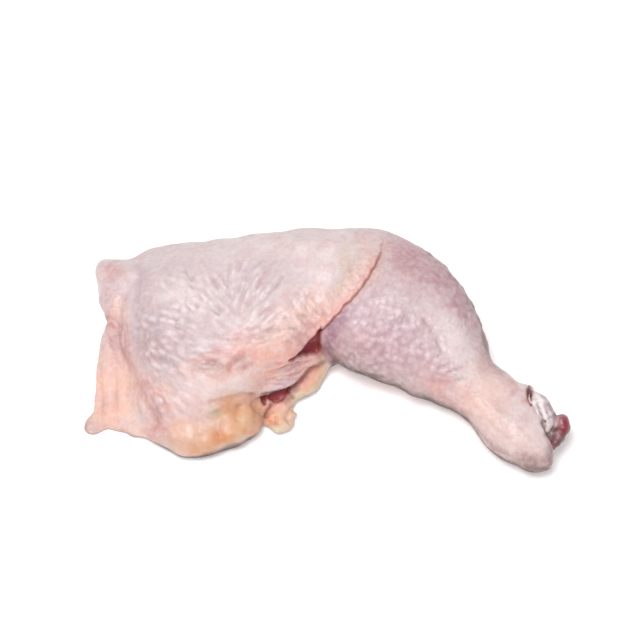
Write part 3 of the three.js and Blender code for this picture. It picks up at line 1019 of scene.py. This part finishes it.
DRUMSTICK_SPOTS = (((380, 285), (36, 30), 0, 0.9), ((430, 300), (40, 50), 0, 0.5),
                   ((470, 320), (16, 40), -20, 0.7), ((450, 360), (30, 30), 0, 0.5))
HEM_SPOTS = (((352, 276), (10, 30), 38, 1.0), ((300, 325), (34, 18), -40, 0.5))
FLAP_SPOTS = (((118, 345), (14, 34), -15, 1.0),)
SHANK_SPOTS = (((505, 420), (50, 50), 30, 0.5), ((105, 390), (26, 50), 0, 0.4))

# Fields of long soft wrinkles: where, distance between creases and depth in millimetres, and how far the
# ridges are broken up
WRINKLES = (
    (THIGH_WAVES, 4.4, 0.36, 0.6),
    (WIDE_WAVES, 5.6, 0.4, 0.4),
    (WEB_WAVES, 2.2, 0.2, 0.4),
    (FLAP_WAVES, 6.5, 0.35, 0.3),
    (RUMPLED_FLAP, 2.8, 0.6, 0.5),
)

# Small cells between fine creases: where, half length, half width and height in millimetres, and how strongly
# their borders are darkened with painted shade and their tops lightened with painted light
CELLS = (
    (THIGH_CELLS, 4.0, 2.2, 0.4, 0.3, 0.35),
    (EDGE_CELLS, 1.4, 1.05, 0.26, 0.35, 0.4),
    (DRUMSTICK_CELLS, 1.4, 1.1, 0.2, 0.25, 0.3),
)

# Short creases and dabs: where, half length and half width in millimetres, how many to a square millimetre,
# room beside them, height in millimetres, which is negative for a crease, and the painted shade between them
STROKES = (
    (THIGH_SPOTS, 3.8, 0.8, 0.5, 2.4, -0.6, 0.0),
    (THIGH_SPOTS, 2.9, 1.35, 1.2, 1.15, 0.85, 0.24),
    (DRUMSTICK_SPOTS, 2.2, 0.6, 0.4, 1.6, -0.35, 0.0),
    (HEM_SPOTS, 1.3, 1.1, 0.45, 1.2, 0.45, 0.0),
    (FLAP_SPOTS, 3.0, 0.8, 0.5, 1.3, -0.5, 0.0),
    (SHANK_SPOTS, 2.6, 0.8, 0.2, 1.8, -0.2, 0.0),
)

# Where goose bumps rise
GOOSE = (((392, 334), (48, 34), 25, 1.0), ((385, 300), (34, 30), 0, 0.6), ((425, 350), (40, 30), 45, 0.7),
         ((445, 280), (50, 36), 50, 0.5), ((476, 320), (18, 44), -25, 0.55), ((362, 360), (40, 14), 25, 0.6))

# The first of the random seeds that each kind of wrinkle uses
FADE_SEED = 50
WAVE_SEED = 60
GRAIN_SEED = 70
STROKE_SEED = 80
CELL_SEED = 90
BROKEN_SEED = 95


def long_wrinkles(surface, where, ways, seed, gap, depth, broken, gap_share):
    """The height of one field of long wrinkles, and how clear its bottoms and tops are."""
    waves = wave_field(surface, where, ways, gap * gap_share, WAVE_SEED + seed)
    grains = ramp(cloud(surface.points, 2.0 * gap, GRAIN_SEED + seed), -0.35, 0.45)
    unbroken = 1 - broken + broken * grains
    ridge = np.clip(waves, 0, 1) ** 1.3 * unbroken
    crease = np.clip(-waves, 0, 1) ** 2.5 * unbroken
    return where * depth * (ridge - crease), 0.6 * where * crease, 0.4 * where * ridge


def small_cells(surface, where, ways, seed, half_length, half_width, rise, clear_borders, clear_tops):
    """The height of one field of cells, and how clear its bottoms and tops are."""
    cell, tone = cells(surface, where, ways, half_length, half_width, CELL_SEED + seed)
    broken = ramp(cloud(surface.points, 2.5 * half_length, BROKEN_SEED + seed), -0.6, 0.5)
    height = where * rise * (cell * (0.6 + 0.6 * tone) - 0.6)
    bottoms = clear_borders * where * (1 - cell) * broken
    return height, bottoms, clear_tops * where * cell ** 2 * ramp(tone, 0.35, 1.0)


def strokes(surface, where, ways, seed, half_length, half_width, density, room, rise, between):
    """The height of one field of short creases or dabs, and how clear its bottoms and tops are."""
    drawn = dabs(surface, where, ways, half_length, half_width, density, room, STROKE_SEED + seed)
    stroke = where * drawn
    if rise < 0:
        return rise * stroke, 0.7 * stroke, 0.0
    return rise * stroke, between * where * (1 - ramp(stroke, 0.0, 0.35)), stroke


def goose_places(points, u, v, facing):
    """Where goose bumps are: as the photograph shows them, and sparser on the back of the drumstick."""
    behind = 0.3 * (1 - facing) * ramp(points[:, 0], 0.0, 30.0) * ramp(points[:, 2], 3.0, 8.0)
    return np.maximum(facing * ovals(u, v, GOOSE), behind)


def shape_wrinkles(surface, sizes):
    """Models the fine wrinkles, marks their bottoms for painted shade and their tops for painted light, and
    marks where goose bumps are.
    """
    points = surface.points
    u, v = seen_at(points)
    facing = ramp(-(surface.normals() @ FORWARD), -0.1, 0.3)
    ways = ways_on(surface, SKIN_FLOW)
    fade = np.clip(0.75 + 0.5 * cloud(points, 9, FADE_SEED), 0.1, 1) * facing
    reliefs = []
    for seed, (spots, *values) in enumerate(WRINKLES):
        where = ovals(u, v, spots) * fade
        reliefs.append(long_wrinkles(surface, where, ways, seed, *values, sizes.wrinkle_gap))
    for seed, (spots, *values) in enumerate(CELLS):
        reliefs.append(small_cells(surface, ovals(u, v, spots) * fade, ways, seed, *values))
    for seed, (spots, *values) in enumerate(STROKES):
        reliefs.append(strokes(surface, ovals(u, v, spots) * fade, ways, seed, *values))
    height = np.zeros(surface.count)
    bottoms = np.zeros(surface.count)
    tops = np.zeros(surface.count)
    for rise, low, high in reliefs:
        height += rise
        bottoms = np.maximum(bottoms, low)
        tops = np.maximum(tops, high)
    surface.push(sizes.wrinkle_depth * height * ramp(points[:, 2], 0.0, 2.0))
    # Painted shade in the bottoms of the creases and on the borders of the cells
    surface.mark("crease", bottoms)
    # Painted light on the tops of the ridges, cells and dabs
    surface.mark("ridge", tops * (1 - 0.7 * np.clip(bottoms, 0, 1)))
    surface.mark("goose", goose_places(points, u, v, facing))


# Tints of the skin, as soft ovals of pixels: middle, radii, turn and strength.
TINTS = {
    "lilac": (((190, 285), (55, 42), 0, 0.4), ((158, 340), (32, 36), 0, 0.9), ((255, 275), (50, 36), 0, 0.4),
              ((352, 314), (30, 12), -50, 0.8), ((375, 312), (44, 36), 30, 0.6),
              ((140, 300), (11, 40), 0, 0.8), ((215, 345), (30, 20), 0, 0.4),
              ((172, 375), (20, 22), -20, 0.7), ((273, 310), (13, 14), 0, 0.5)),
    "rose": (((415, 262), (44, 26), 40, 1.0), ((462, 298), (20, 44), -25, 0.9),
             ((390, 350), (60, 26), 15, 0.6), ((120, 338), (16, 20), 0, 0.35),
             ((240, 238), (120, 7), -6, 0.12), ((362, 352), (44, 24), 10, 0.7),
             ((110, 292), (12, 30), 0, 0.45), ((448, 284), (10, 7), 40, 0.7),
             ((472, 318), (7, 22), -20, 0.5), ((425, 278), (14, 6), 20, 0.5), ((184, 402), (22, 14), 0, 0.3),
             ((352, 278), (8, 12), 35, 0.35), ((511, 386), (8, 5), 40, 0.8), ((345, 293), (9, 8), 0, 0.45),
             ((439, 373), (12, 6), 0, 0.4)),
    "peach": (((110, 395), (32, 50), 0, 1.0), ((118, 312), (14, 14), 0, 0.5),
              ((345, 295), (52, 14), -50, 0.7), ((364, 258), (10, 20), 0, 0.45),
              ((300, 325), (42, 24), -40, 0.8), ((311, 380), (18, 8), -50, 1.0),
              ((222, 374), (20, 10), 0, 0.8), ((182, 425), (20, 10), 10, 0.8),
              ((265, 352), (44, 16), -12, 0.9), ((180, 440), (44, 18), 10, 0.8),
              ((485, 400), (30, 34), 40, 0.5), ((515, 440), (40, 20), 30, 0.3),
              ((264, 378), (22, 10), -18, 0.8), ((200, 402), (44, 18), 0, 0.3),
              ((161, 396), (15, 18), 0, 0.8), ((205, 368), (36, 12), 0, 0.5)),
    # Partly the skin's own reddening, partly painted shade in the band along the flap's crease
    "salmon": (((261, 381), (14, 7), -15, 0.7), ((284, 400), (9, 6), -40, 1.0),
               ((321, 355), (7, 10), 0, 0.8), ((233, 366), (14, 8), -20, 0.85),
               ((250, 338), (16, 9), -15, 0.4), ((439, 280), (6, 4), 30, 0.7),
               ((264, 328), (14, 8), -15, 0.3), ((150, 400), (7, 34), -22, 0.8),
               ((165, 412), (10, 12), 0, 0.5), ((155, 430), (10, 14), 0, 0.8),
               ((241, 360), (13, 10), -20, 1.0), ((118, 335), (10, 18), -10, 0.45),
               ((92, 428), (12, 7), 0, 0.2), ((110, 322), (8, 8), 0, 0.7), ((302, 342), (10, 6), -48, 0.7),
               ((275, 366), (20, 4), -15, 0.6), ((436, 378), (22, 10), 25, 0.6),
               ((225, 352), (30, 6), -6, 0.4), ((205, 362), (16, 6), 0, 0.5), ((250, 398), (14, 6), 0, 0.9),
               ((534, 404), (4, 14), -20, 0.4), ((116, 274), (12, 10), 0, 0.4),
               ((285, 362), (10, 3), -20, 0.8), ((150, 352), (8, 20), -10, 0.3),
               ((128, 355), (5, 20), -20, 0.6), ((304, 332), (28, 8), -46, 0.9),
               ((236, 336), (16, 9), 0, 0.5), ((322, 316), (10, 7), -45, 0.5),
               ((447, 401), (30, 7), 35, 0.8), ((527, 400), (4, 5), 0, 0.7),
               ((484, 362), (9, 14), -30, 0.45), ((298, 371), (16, 6), -20, 0.5),
               ((155, 389), (8, 14), -20, 0.5)),
    # Painted shade: on the drumstick's low front and back rim, along bottom edges, and in creases and hollows
    "dusk_shade": (((345, 358), (30, 12), 20, 0.7), ((400, 386), (60, 7), 25, 0.7), ((470, 428), (60, 6), 42, 0.3),
             ((538, 464), (28, 10), 4, 1.0), ((474, 310), (8, 40), -22, 0.85),
             ((257, 432), (20, 6), -45, 0.6), ((240, 361), (10, 9), -20, 0.7),
             ((172, 443), (16, 9), 10, 0.5), ((200, 447), (16, 7), 0, 0.3), ((551, 455), (8, 12), 0, 0.8),
             ((325, 359), (6, 8), 0, 0.6), ((286, 401), (7, 5), -40, 0.5), ((258, 332), (22, 8), -20, 0.25),
             ((261, 420), (6, 14), 20, 0.8), ((150, 345), (18, 18), 0, 0.4), ((166, 352), (14, 10), 30, 0.4),
             ((158, 408), (6, 12), -20, 0.5), ((210, 361), (20, 10), 0, 0.35),
             ((380, 362), (60, 14), 20, 0.3), ((212, 371), (15, 9), 0, 0.55),
             ((506, 412), (24, 14), 40, 0.15), ((104, 315), (9, 18), 0, 0.3),
             ((478, 316), (7, 14), -20, 0.5)),
    "plum": (((329, 340), (9, 16), 6, 1.0), ((342, 322), (18, 8), -48, 0.75), ((440, 280), (12, 5), 40, 0.4),
             ((458, 300), (6, 5), 40, 0.4), ((284, 391), (4, 3), 0, 0.6)),
    # Partly stretched, paler skin and partly painted light: on tops that face the lamp, and small painted
    # highlights
    "pale": (((452, 338), (30, 17), 62, 1.0), ((320, 268), (34, 28), 0, 0.15),
             ((188, 297), (32, 18), 10, 0.9), ((522, 422), (24, 14), 40, 0.3),
             ((255, 248), (60, 14), -4, 0.6), ((215, 285), (30, 20), 0, 0.4),
             ((395, 300), (26, 14), 30, 0.3), ((240, 384), (24, 8), -6, 0.3),
             ((470, 378), (14, 10), 50, 0.4), ((130, 284), (8, 14), 0, 0.5), ((345, 257), (10, 8), 0, 0.5),
             ((190, 297), (20, 11), 10, 0.9)),
    "mauve": (((285, 380), (13, 5), -28, 0.85), ((292, 369), (14, 4), -20, 0.7),
              ((304, 362.5), (10, 4), -20, 0.8)),
    "fat": (((236, 418), (30, 24), -15, 0.95), ((205, 446), (34, 12), 0, 0.7),
            ((311, 382), (20, 10), -50, 0.5), ((282, 416), (18, 18), 0, 0.75), ((262, 407), (9, 6), 0, 0.7),
            ((355, 272), (5, 14), 35, 0.3), ((190, 430), (26, 9), 12, 0.35)),
    "straw": (((214, 412), (8, 8), 0, 0.8), ((250, 420), (10, 8), -30, 0.6), ((319, 383), (15, 5), -58, 1.0),
              ((303, 397), (12, 4), -10, 1.0), ((323, 360), (6, 9), 0, 0.7), ((294, 404), (5, 10), 0, 0.9),
              ((284, 431), (15, 6), 0, 1.0), ((346, 262), (8, 12), 0, 0.5), ((342, 285), (8, 8), 0, 0.4),
              ((168, 446), (14, 6), 20, 0.4), ((236, 440), (12, 8), -30, 0.5)),
    "amber": (((231, 411), (8, 9), 10, 0.6), ((220, 441), (9, 6), -10, 1.0), ((202, 450), (16, 6), 0, 0.4),
              ((273, 423), (8, 5), 10, 1.0), ((238, 406), (14, 5), -10, 0.25), ((256, 413), (8, 10), 0, 0.5),
              ((274, 413), (7, 5), 0, 0.5), ((226, 436), (14, 9), 0, 0.6), ((250, 427), (8, 8), -30, 0.6)),
    "coral": (((304, 380), (13, 5), -50, 0.6), ((272, 407), (6, 4), 0, 0.6), ((315, 347), (3, 6), -40, 0.35),
              ((270, 356), (26, 7), -10, 0.65), ((240, 352), (12, 7), 0, 0.4), ((278, 405), (10, 4), 0, 0.8),
              ((292, 352), (10, 5), -48, 0.5), ((215, 358), (18, 5), 0, 0.3),
              ((468, 392), (12, 12), 40, 0.35), ((434, 384), (14, 6), 30, 0.5)),
}


def moved(line, step):
    """A line moved by that many pixels to the right and down."""
    return tuple((u + step, v + step) for u, v in line)


# Painted shade in a band low on the drumstick's front, and in a short one at the end of the hock
LOW_BAND = ((338, 364), (360, 373), (385, 381), (410, 391), (435, 401), (457, 411), (470, 424), (485, 440),
            (505, 454), (530, 467))
HOCK_END = ((544, 431), (547, 438), (550, 446), (553, 455))

# Thin lines of a tint: line, half width in pixels and strength. The dusky lines along the valley, the back
# rim, the hock's end, the low band, the grey strokes and the long creases are painted shade, and so are the
# darkest lines along the contact with the table, on the back rim and in the hock's nick
LINE_TINTS = (
    ("coral", moved(HEM[2:10], -2.4), 2.6, 0.9),
    ("coral", WEB_TOP, 1.8, 0.9),
    ("salmon", moved(HEM[:4], -2), 5.0, 1.0),
    ("dusk_shade", VALLEY, 3.2, 0.8),
    ("dusk_shade", BACK_RIM, 5.0, 1.0),
    ("painted_shade", CONTACT, 1.8, 0.9),
    ("painted_shade", BACK_RIM[4:10], 2.4, 0.4),
    ("painted_shade", HOCK_NICK, 2.6, 0.9),
    ("mauve", WEB_RIM, 1.5, 0.7),
    ("salmon", FAT_FOLD, 3.0, 0.7),
    # Partly painted shade along the flap's crease
    ("salmon", FLAP_CREASE[4:], 3.5, 0.7),
    ("fat", moved(WEB_FOOT[2:], 3.5), 2.4, 0.7),
    ("dusk_shade", HOCK_END, 2.6, 0.9),
    ("dusk_shade", LOW_BAND, 4.5, 0.8),
    *(("dusk_shade", line, 1.8, 0.6) for line in GREY_STROKES),
    *(("dusk_shade", line, 1.3, 0.5) for line in LONG_CREASES),
    *(("coral", line, 1.3, 0.6) for line in WEB_RIDGES),
    *(("rose", line, 1.5, 0.8) for line in WEB_FURROWS),
)

# How strongly blotches of a tint show on the sides that the photograph doesn't show
HIDDEN_TINTS = {"lilac": 0.3, "rose": 0.35, "peach": 0.3, "dusk_shade": 0.15, "pale": 0.15, "fat": 0.1}

# Where no painted shade lies along the table, and where more is painted
NO_SHADE = (((105, 375), (38, 90), 0, 1.0), ((290, 410), (40, 34), 0, 0.6), ((316, 344), (20, 24), 0, 1.0))
MORE_SHADE = (((538, 472), (27, 5), 4, 0.6), ((554, 459), (4, 12), 0, 0.3))

BLOTCH_SEED = 30
STRAY = 3  # pixels by which the edges of tints stray


def line_tints(u, v, seen):
    """For each tint that has thin lines, where they lie."""
    lines = {}
    for name, line, width, amount in LINE_TINTS:
        gap, share = along(u, v, line, reach=4 * width)
        ends = ramp(share, 0.0, 0.12) * ramp(share, 1.0, 0.85)
        lines[name] = np.maximum(lines.get(name, 0), amount * ends * seen * band(gap, 0, width))
    return lines


def painted_shade_places(height, upward, u, v, facing):
    """Painted shade where the meat curves under to meet the table."""
    under = np.maximum(ramp(height, 3.2, 0.9), facing * ramp(-upward, -0.12, 0.2))
    under *= ramp(upward, -1.0, -0.97) * (0.4 + 0.6 * facing)
    return np.maximum(under, ovals(u, v, MORE_SHADE)) * (1 - ovals(u, v, NO_SHADE))


def tint_skin(surface):
    """Marks where each tint of the skin lies."""
    points = surface.points
    u, v = seen_at(points)
    normals = surface.normals()
    facing = ramp(-(normals @ FORWARD), -0.25, 0.2)
    lines = line_tints(u, v, ramp(-(normals @ FORWARD), -0.5, -0.05))
    u = u + STRAY * cloud(points, 6, 21, octaves=2)
    v = v + STRAY * cloud(points, 6, 22, octaves=2)
    for seed, (name, spots) in enumerate(TINTS.items()):
        missing = np.ones(surface.count)
        for middle, radii, turn, amount in spots:
            missing *= 1 - amount * patch(u, v, middle, radii, turn)
        blotches = ramp(cloud(points, 14, BLOTCH_SEED + seed, octaves=2), -0.2, 0.6)
        hidden = HIDDEN_TINTS.get(name, 0) * blotches
        share = facing * (1 - missing) + (1 - facing) * hidden
        surface.mark(name, np.maximum(share, lines.get(name, 0)))
    # Painted shade where the meat curves under to meet the table
    painted_shade = painted_shade_places(points[:, 2], normals[:, 2], u, v, facing)
    surface.mark("painted_shade", np.maximum(painted_shade, lines["painted_shade"]))


def length_property(name, millimetres, description):
    return FloatProperty(name=name, description=description, default=millimetres * MM, unit="LENGTH",
                         precision=5)


def share_property(name, description):
    return FloatProperty(name=name, description=description, default=1.0, subtype="FACTOR")


def colour_property(name, colour, description):
    return FloatVectorProperty(name=name, description=description, subtype="COLOR", size=3, min=0, max=1,
                               default=linear(colour))


class LegSizes(bpy.types.PropertyGroup):
    """Sizes and shares that a user would change"""
    skin_grid: length_property("Skin grid", 0.5, "Side of the squares that the skin is made of")
    most_triangles: IntProperty(name="Most triangles", default=196000,
                                description="The skin is thinned to this many triangles")
    wrinkle_gap: share_property("Wrinkle gap", "Distance between creases, as a share of the real one")
    wrinkle_depth: share_property("Wrinkle depth", "Depth of creases, as a share of the real one")
    bump_spacing: length_property("Bump spacing", 3.0, "Least distance between goose bumps")
    bump_radius: length_property("Bump radius", 2.9, "Radius of a goose bump's foot")
    bump_height: length_property("Bump height", 0.5, "Height of a goose bump")
    bump_seed: IntProperty(name="Bump seed", default=3, description="Changes where the goose bumps fall")
    knuckle_grid: length_property("Knuckle grid", 0.4, "Side of the squares that the knuckle is made of")


class LegColours(bpy.types.PropertyGroup):
    """Colours as the eye sees them, before light and shade, though some of them are painted shade and painted
    light
    """
    skin: colour_property("Skin", (220, 202, 202), "Plain skin")
    lilac: colour_property("Lilac", (198, 177, 184), "Cool grey skin over dark meat")
    rose: colour_property("Rose", (196, 152, 158), "Skin with blood under it")
    peach: colour_property("Peach", (242, 192, 172), "Thin warm skin")
    # Partly the skin's own reddening, partly painted shade along the flap's crease
    salmon: colour_property("Salmon", (204, 140, 132), "Reddened skin along creases")
    # Painted shade low on the sides, on rims and in creases
    dusk_shade: colour_property("Dusk", (162, 130, 128), "Dull skin low on the sides")
    plum: colour_property("Plum", (154, 108, 132), "Purple meat showing through skin")
    # Partly stretched skin, partly painted light on tops that face the lamp and painted highlights
    pale: colour_property("Pale", (236, 221, 220), "Stretched skin")
    fat: colour_property("Fat", (220, 168, 126), "Yellow fat")
    amber: colour_property("Amber", (214, 140, 88), "Deep yellow fat")
    # Painted shade: the contact shadow where the meat meets the table, and the dark gaps at the hock
    painted_shade: colour_property("Shade", (74, 40, 32), "Skin wet with juice, where it lies on the table")
    blush: colour_property("Blush", (214, 172, 170), "Blotches")
    mauve: colour_property("Mauve", (200, 156, 166), "Thin skin over the web of the knee")
    straw: colour_property("Straw", (212, 194, 162), "Thin, see-through fat")
    coral: colour_property("Coral", (240, 172, 158), "Pink rims of skin")
    # Painted shade in the bottoms of the fine creases
    crease: colour_property("Crease", (156, 124, 126), "Bottoms of the fine creases")
    # Partly the paler skin of the goose bumps, partly painted light on them and on the ridges
    bump_top: colour_property("Bump top", (243, 228, 231), "Tops of the goose bumps")
    # Partly the skin's own tone between the goose bumps, partly painted shade
    bump_ground: colour_property("Bump ground", (172, 134, 148), "Skin between the goose bumps")
    # Painted shade in the bottoms of the deep folds
    fold_shade: colour_property("Umber", (142, 64, 48), "Bottoms of the deep folds")
    flesh: colour_property("Flesh", (144, 50, 58), "Bare flesh in the clefts")
    gristle: colour_property("Gristle", (248, 236, 238), "Cartilage")
    # Partly see-through cartilage, partly painted shade in its valley
    gristle_grey: colour_property("Grey gristle", (158, 144, 152), "Thin, see-through cartilage")
    cream: colour_property("Cream", (222, 208, 196), "Fat on the gristle")
    blood: colour_property("Blood", (140, 38, 56), "Marrow stain")


ROUGH_GRID = 2  # how much coarser the skin's grid is until its facets are gone


class LEG_OT_skin(bpy.types.Operator):
    """Make the skin, with its folds, fat, wrinkles and goose bumps"""
    bl_idname = "leg.skin"
    bl_label = "Skin"

    def execute(self, context):
        sizes, colours = context.scene.leg_sizes, context.scene.leg_colours
        rough = Surface(copy_of("leg_flesh_and_skin", "rough_skin", ROUGH_GRID * sizes.skin_grid))
        soften(rough)
        grid = sizes.skin_grid * 1
        surface = Surface(remeshed(rough.mesh, "fine_skin", grid))
        surface.smooth(STEP_ROUNDS, 1 - ovals(*seen_at(surface.points), CRISP))
        shape_folds(surface)
        shape_wrinkles(surface, sizes)
        tint_skin(surface)
        surface.write()
        material = skin_material(colours)
        mesh = thinned(with_bumps(surface.mesh, sizes, material), "leg_skin", sizes.most_triangles)
        show(mesh, "leg_skin", material, "leg_flesh_and_skin")
        return {"FINISHED"}


# Lumps of gristle and bone at the cut hock: pixel, height of the lump's top above the table and its radius,
# both in millimetres
KNUCKLE_LUMPS = (
    # Folds of gristle round the tendons
    ((531.5, 393), 21.3, 1.5), ((533, 398), 21.0, 1.5), ((530.5, 398), 19.6, 1.6),
    ((535, 394), 21.5, 1.5), ((539, 397), 21.3, 1.8), ((543, 400), 20.6, 1.9), ((546.5, 404), 20.0, 1.9),
    ((549, 409), 19.2, 1.9), ((551.5, 414), 18.6, 1.9), ((540, 405), 21.0, 1.7), ((542.5, 411), 20.6, 1.7),
    ((545.5, 417), 20.0, 1.6), ((552.5, 419), 18.2, 1.7), ((551, 424), 18.4, 1.4),
    # Small knob
    ((548.5, 425.5), 19.0, 1.7), ((547.5, 430), 18.2, 1.3),
    # Head of the bone
    ((562, 421.5), 17.8, 3.3), ((563, 428), 17.2, 3.4), ((559, 437), 15.8, 2.8), ((556, 442), 15.0, 2.3),
    ((552.5, 447), 14.6, 1.6),
    # Tissue behind the gap
    ((548, 435), 14.0, 2.2), ((551, 440), 13.8, 2.4),
    # Tissue behind the nick
    ((529, 390), 18.0, 2.4), ((529.5, 396), 17.8, 2.4), ((532, 402), 17.5, 2.2),
)

# Their colours, as soft ovals of pixels
KNUCKLE_MARKS = {
    # Grey of the see-through cartilage; the grey band down the valley at its right is painted shade
    "gristle_grey": (((543, 397), (9, 3), 35, 0.7), ((549, 408), (3, 9), -20, 1.0),
                     ((553, 416), (5, 6), 0, 0.9), ((539, 407), (1.6, 9), -28, 0.4),
                     ((548, 427), (5, 5), 0, 0.6), ((556, 446), (8, 8), 0, 1.0),
                     ((545, 447), (14, 13), 0, 0.8)),
    "cream": (((536, 396), (4, 4), 0, 0.6), ((548, 426), (4, 5), 0, 0.6)),
    "blood": (((528, 395), (5, 11), 0, 1.0), ((564, 426), (10, 18), 0, 1.0),
              ((558, 441), (12, 12), 0, 0.75)),
    # Painted shade in the gaps between the gristle, the knob of bone and the skin, and in the nick
    "painted_shade": (((555, 430), (4.4, 3.2), -30, 1.0), ((547, 436.5), (5, 3.5), 0, 1.0),
              ((542, 424), (2, 7), 0, 0.5), ((553, 440), (8, 8), 30, 0.55), ((561, 439), (10, 6), -45, 0.6),
              ((557, 414.5), (4, 1.5), 0, 0.7), ((528.5, 395), (3.9, 7.5), 0, 0.85)),
}

# The end of the bone's CAD shape shrinks to make room for the lumps, all in millimetres.
SHRINK_FROM = 82.0  # where along the length it starts to
SHRINK_TO = 87.0  # where it has shrunk fully
SHRINK = 1.7

GRISTLE_RELIEF = 0.09  # millimetres by which the gristle is uneven
GRISTLE_STRAY = 0.9  # pixels by which the edges of its colours stray


class LEG_OT_knuckle(bpy.types.Operator):
    """Make the knuckle of cartilage and bone at the cut hock"""
    bl_idname = "leg.knuckle"
    bl_label = "Knuckle"

    def execute(self, context):
        sizes, colours = context.scene.leg_sizes, context.scene.leg_colours
        base = Surface(copy_of("shank_bone", "knuckle_base", sizes.knuckle_grid))
        base.smooth(FACET_ROUNDS, np.ones(base.count))
        base.push(-SHRINK * ramp(base.points[:, 0], SHRINK_FROM, SHRINK_TO))
        base.write()
        surface = Surface(remeshed(with_lumps(base.mesh, KNUCKLE_LUMPS), "hock_knuckle", sizes.knuckle_grid))
        surface.smooth(STEP_ROUNDS, np.ones(surface.count))
        surface.push(GRISTLE_RELIEF * cloud(surface.points, 2.6, 41, octaves=2))
        u, v = seen_at(surface.points)
        u = u + GRISTLE_STRAY * cloud(surface.points, 2.5, 43)
        v = v + GRISTLE_STRAY * cloud(surface.points, 2.5, 44)
        for name, spots in KNUCKLE_MARKS.items():
            surface.mark(name, ovals(u, v, spots))
        surface.write()
        show(surface.mesh, "hock_knuckle", gristle_material(colours), "shank_bone")
        return {"FINISHED"}


FLOOR_SIZE = 6.0  # metres
FLOOR_COLOUR = (0.98, 0.98, 0.98, 1)
FLOOR_GLOW = 0.17  # the floor is a light table, so shadows on it are weak
ROOM_LIGHT = 0.47
KEY_PLACE = (-150, -220, 1100)  # millimetres
KEY_SIZE = 0.5  # metres
KEY_POWER = 9.1  # watts
SENSOR_WIDTH = 36.0  # millimetres
WHITE = (1, 1, 1, 1)


def add_floor(context):
    """A wide pale floor that glows a little."""
    bpy.ops.mesh.primitive_plane_add(size=FLOOR_SIZE)
    floor = context.active_object
    floor.name = "floor"
    material, nodes = blank_material("floor")
    end_in_shader(nodes, {"Base Color": FLOOR_COLOUR, "Roughness": 0.9, "Specular IOR Level": 0.0,
                          "Emission Color": WHITE, "Emission Strength": FLOOR_GLOW})
    floor.data.materials.append(material)


def add_lights(scene):
    """A white room, and one soft lamp above and to the left."""
    world = bpy.data.worlds.new("studio")
    scene.world = world
    world.use_nodes = True
    background = world.node_tree.nodes["Background"]
    background.inputs["Color"].default_value = WHITE
    background.inputs["Strength"].default_value = ROOM_LIGHT
    lamp = bpy.data.lights.new("key", "AREA")
    lamp.shape = "DISK"
    lamp.size = KEY_SIZE
    lamp.energy = KEY_POWER
    key = bpy.data.objects.new("key", lamp)
    key.location = Vector(KEY_PLACE) * MM
    key.rotation_euler = (-key.location).to_track_quat("-Z", "Y").to_euler()
    scene.collection.objects.link(key)


def add_camera(scene):
    """The camera sees what the photograph shows, from the same side."""
    lens = bpy.data.cameras.new("camera")
    lens.sensor_width = SENSOR_WIDTH
    lens.lens = SENSOR_WIDTH * DISTANCE / (PHOTO_SIZE * PIXEL)
    lens.clip_end = 20.0
    camera = bpy.data.objects.new("camera", lens)
    camera.location = Vector(EYE) * MM
    camera.rotation_euler = Vector(FORWARD).to_track_quat("-Z", "Y").to_euler()
    scene.collection.objects.link(camera)
    scene.camera = camera


class LEG_OT_stage(bpy.types.Operator):
    """Make the floor, the lights and the camera"""
    bl_idname = "leg.stage"
    bl_label = "Stage"

    def execute(self, context):
        add_floor(context)
        add_lights(context.scene)
        add_camera(context.scene)
        context.scene.view_settings.view_transform = "Standard"
        return {"FINISHED"}


class LEG_PT_panel(bpy.types.Panel):
    """Lists what makes the leg quarter"""
    bl_idname = "LEG_PT_panel"
    bl_label = "Leg quarter"
    bl_space_type = "VIEW_3D"
    bl_region_type = "UI"
    bl_category = "Leg quarter"

    def draw(self, context):
        for operator in OPERATORS:
            self.layout.operator(operator.bl_idname)
        for group in (context.scene.leg_sizes, context.scene.leg_colours):
            for name in group.bl_rna.properties.keys():
                if name not in ("rna_type", "name"):
                    self.layout.prop(group, name)


OPERATORS = (LEG_OT_stage, LEG_OT_skin, LEG_OT_knuckle)
CLASSES = (LegSizes, LegColours, *OPERATORS, LEG_PT_panel)


def register():
    for item in CLASSES:
        bpy.utils.register_class(item)
    bpy.types.Scene.leg_sizes = PointerProperty(type=LegSizes)
    bpy.types.Scene.leg_colours = PointerProperty(type=LegColours)


def unregister():
    del bpy.types.Scene.leg_sizes
    del bpy.types.Scene.leg_colours
    for item in reversed(CLASSES):
        bpy.utils.unregister_class(item)


def main():
    """Makes the stage and the pieces."""
    register()
    mottle_group()
    moist_film_group()
    bpy.ops.leg.stage()
    bpy.ops.leg.skin()
    bpy.ops.leg.knuckle()


if __name__ == "__main__":
    main()
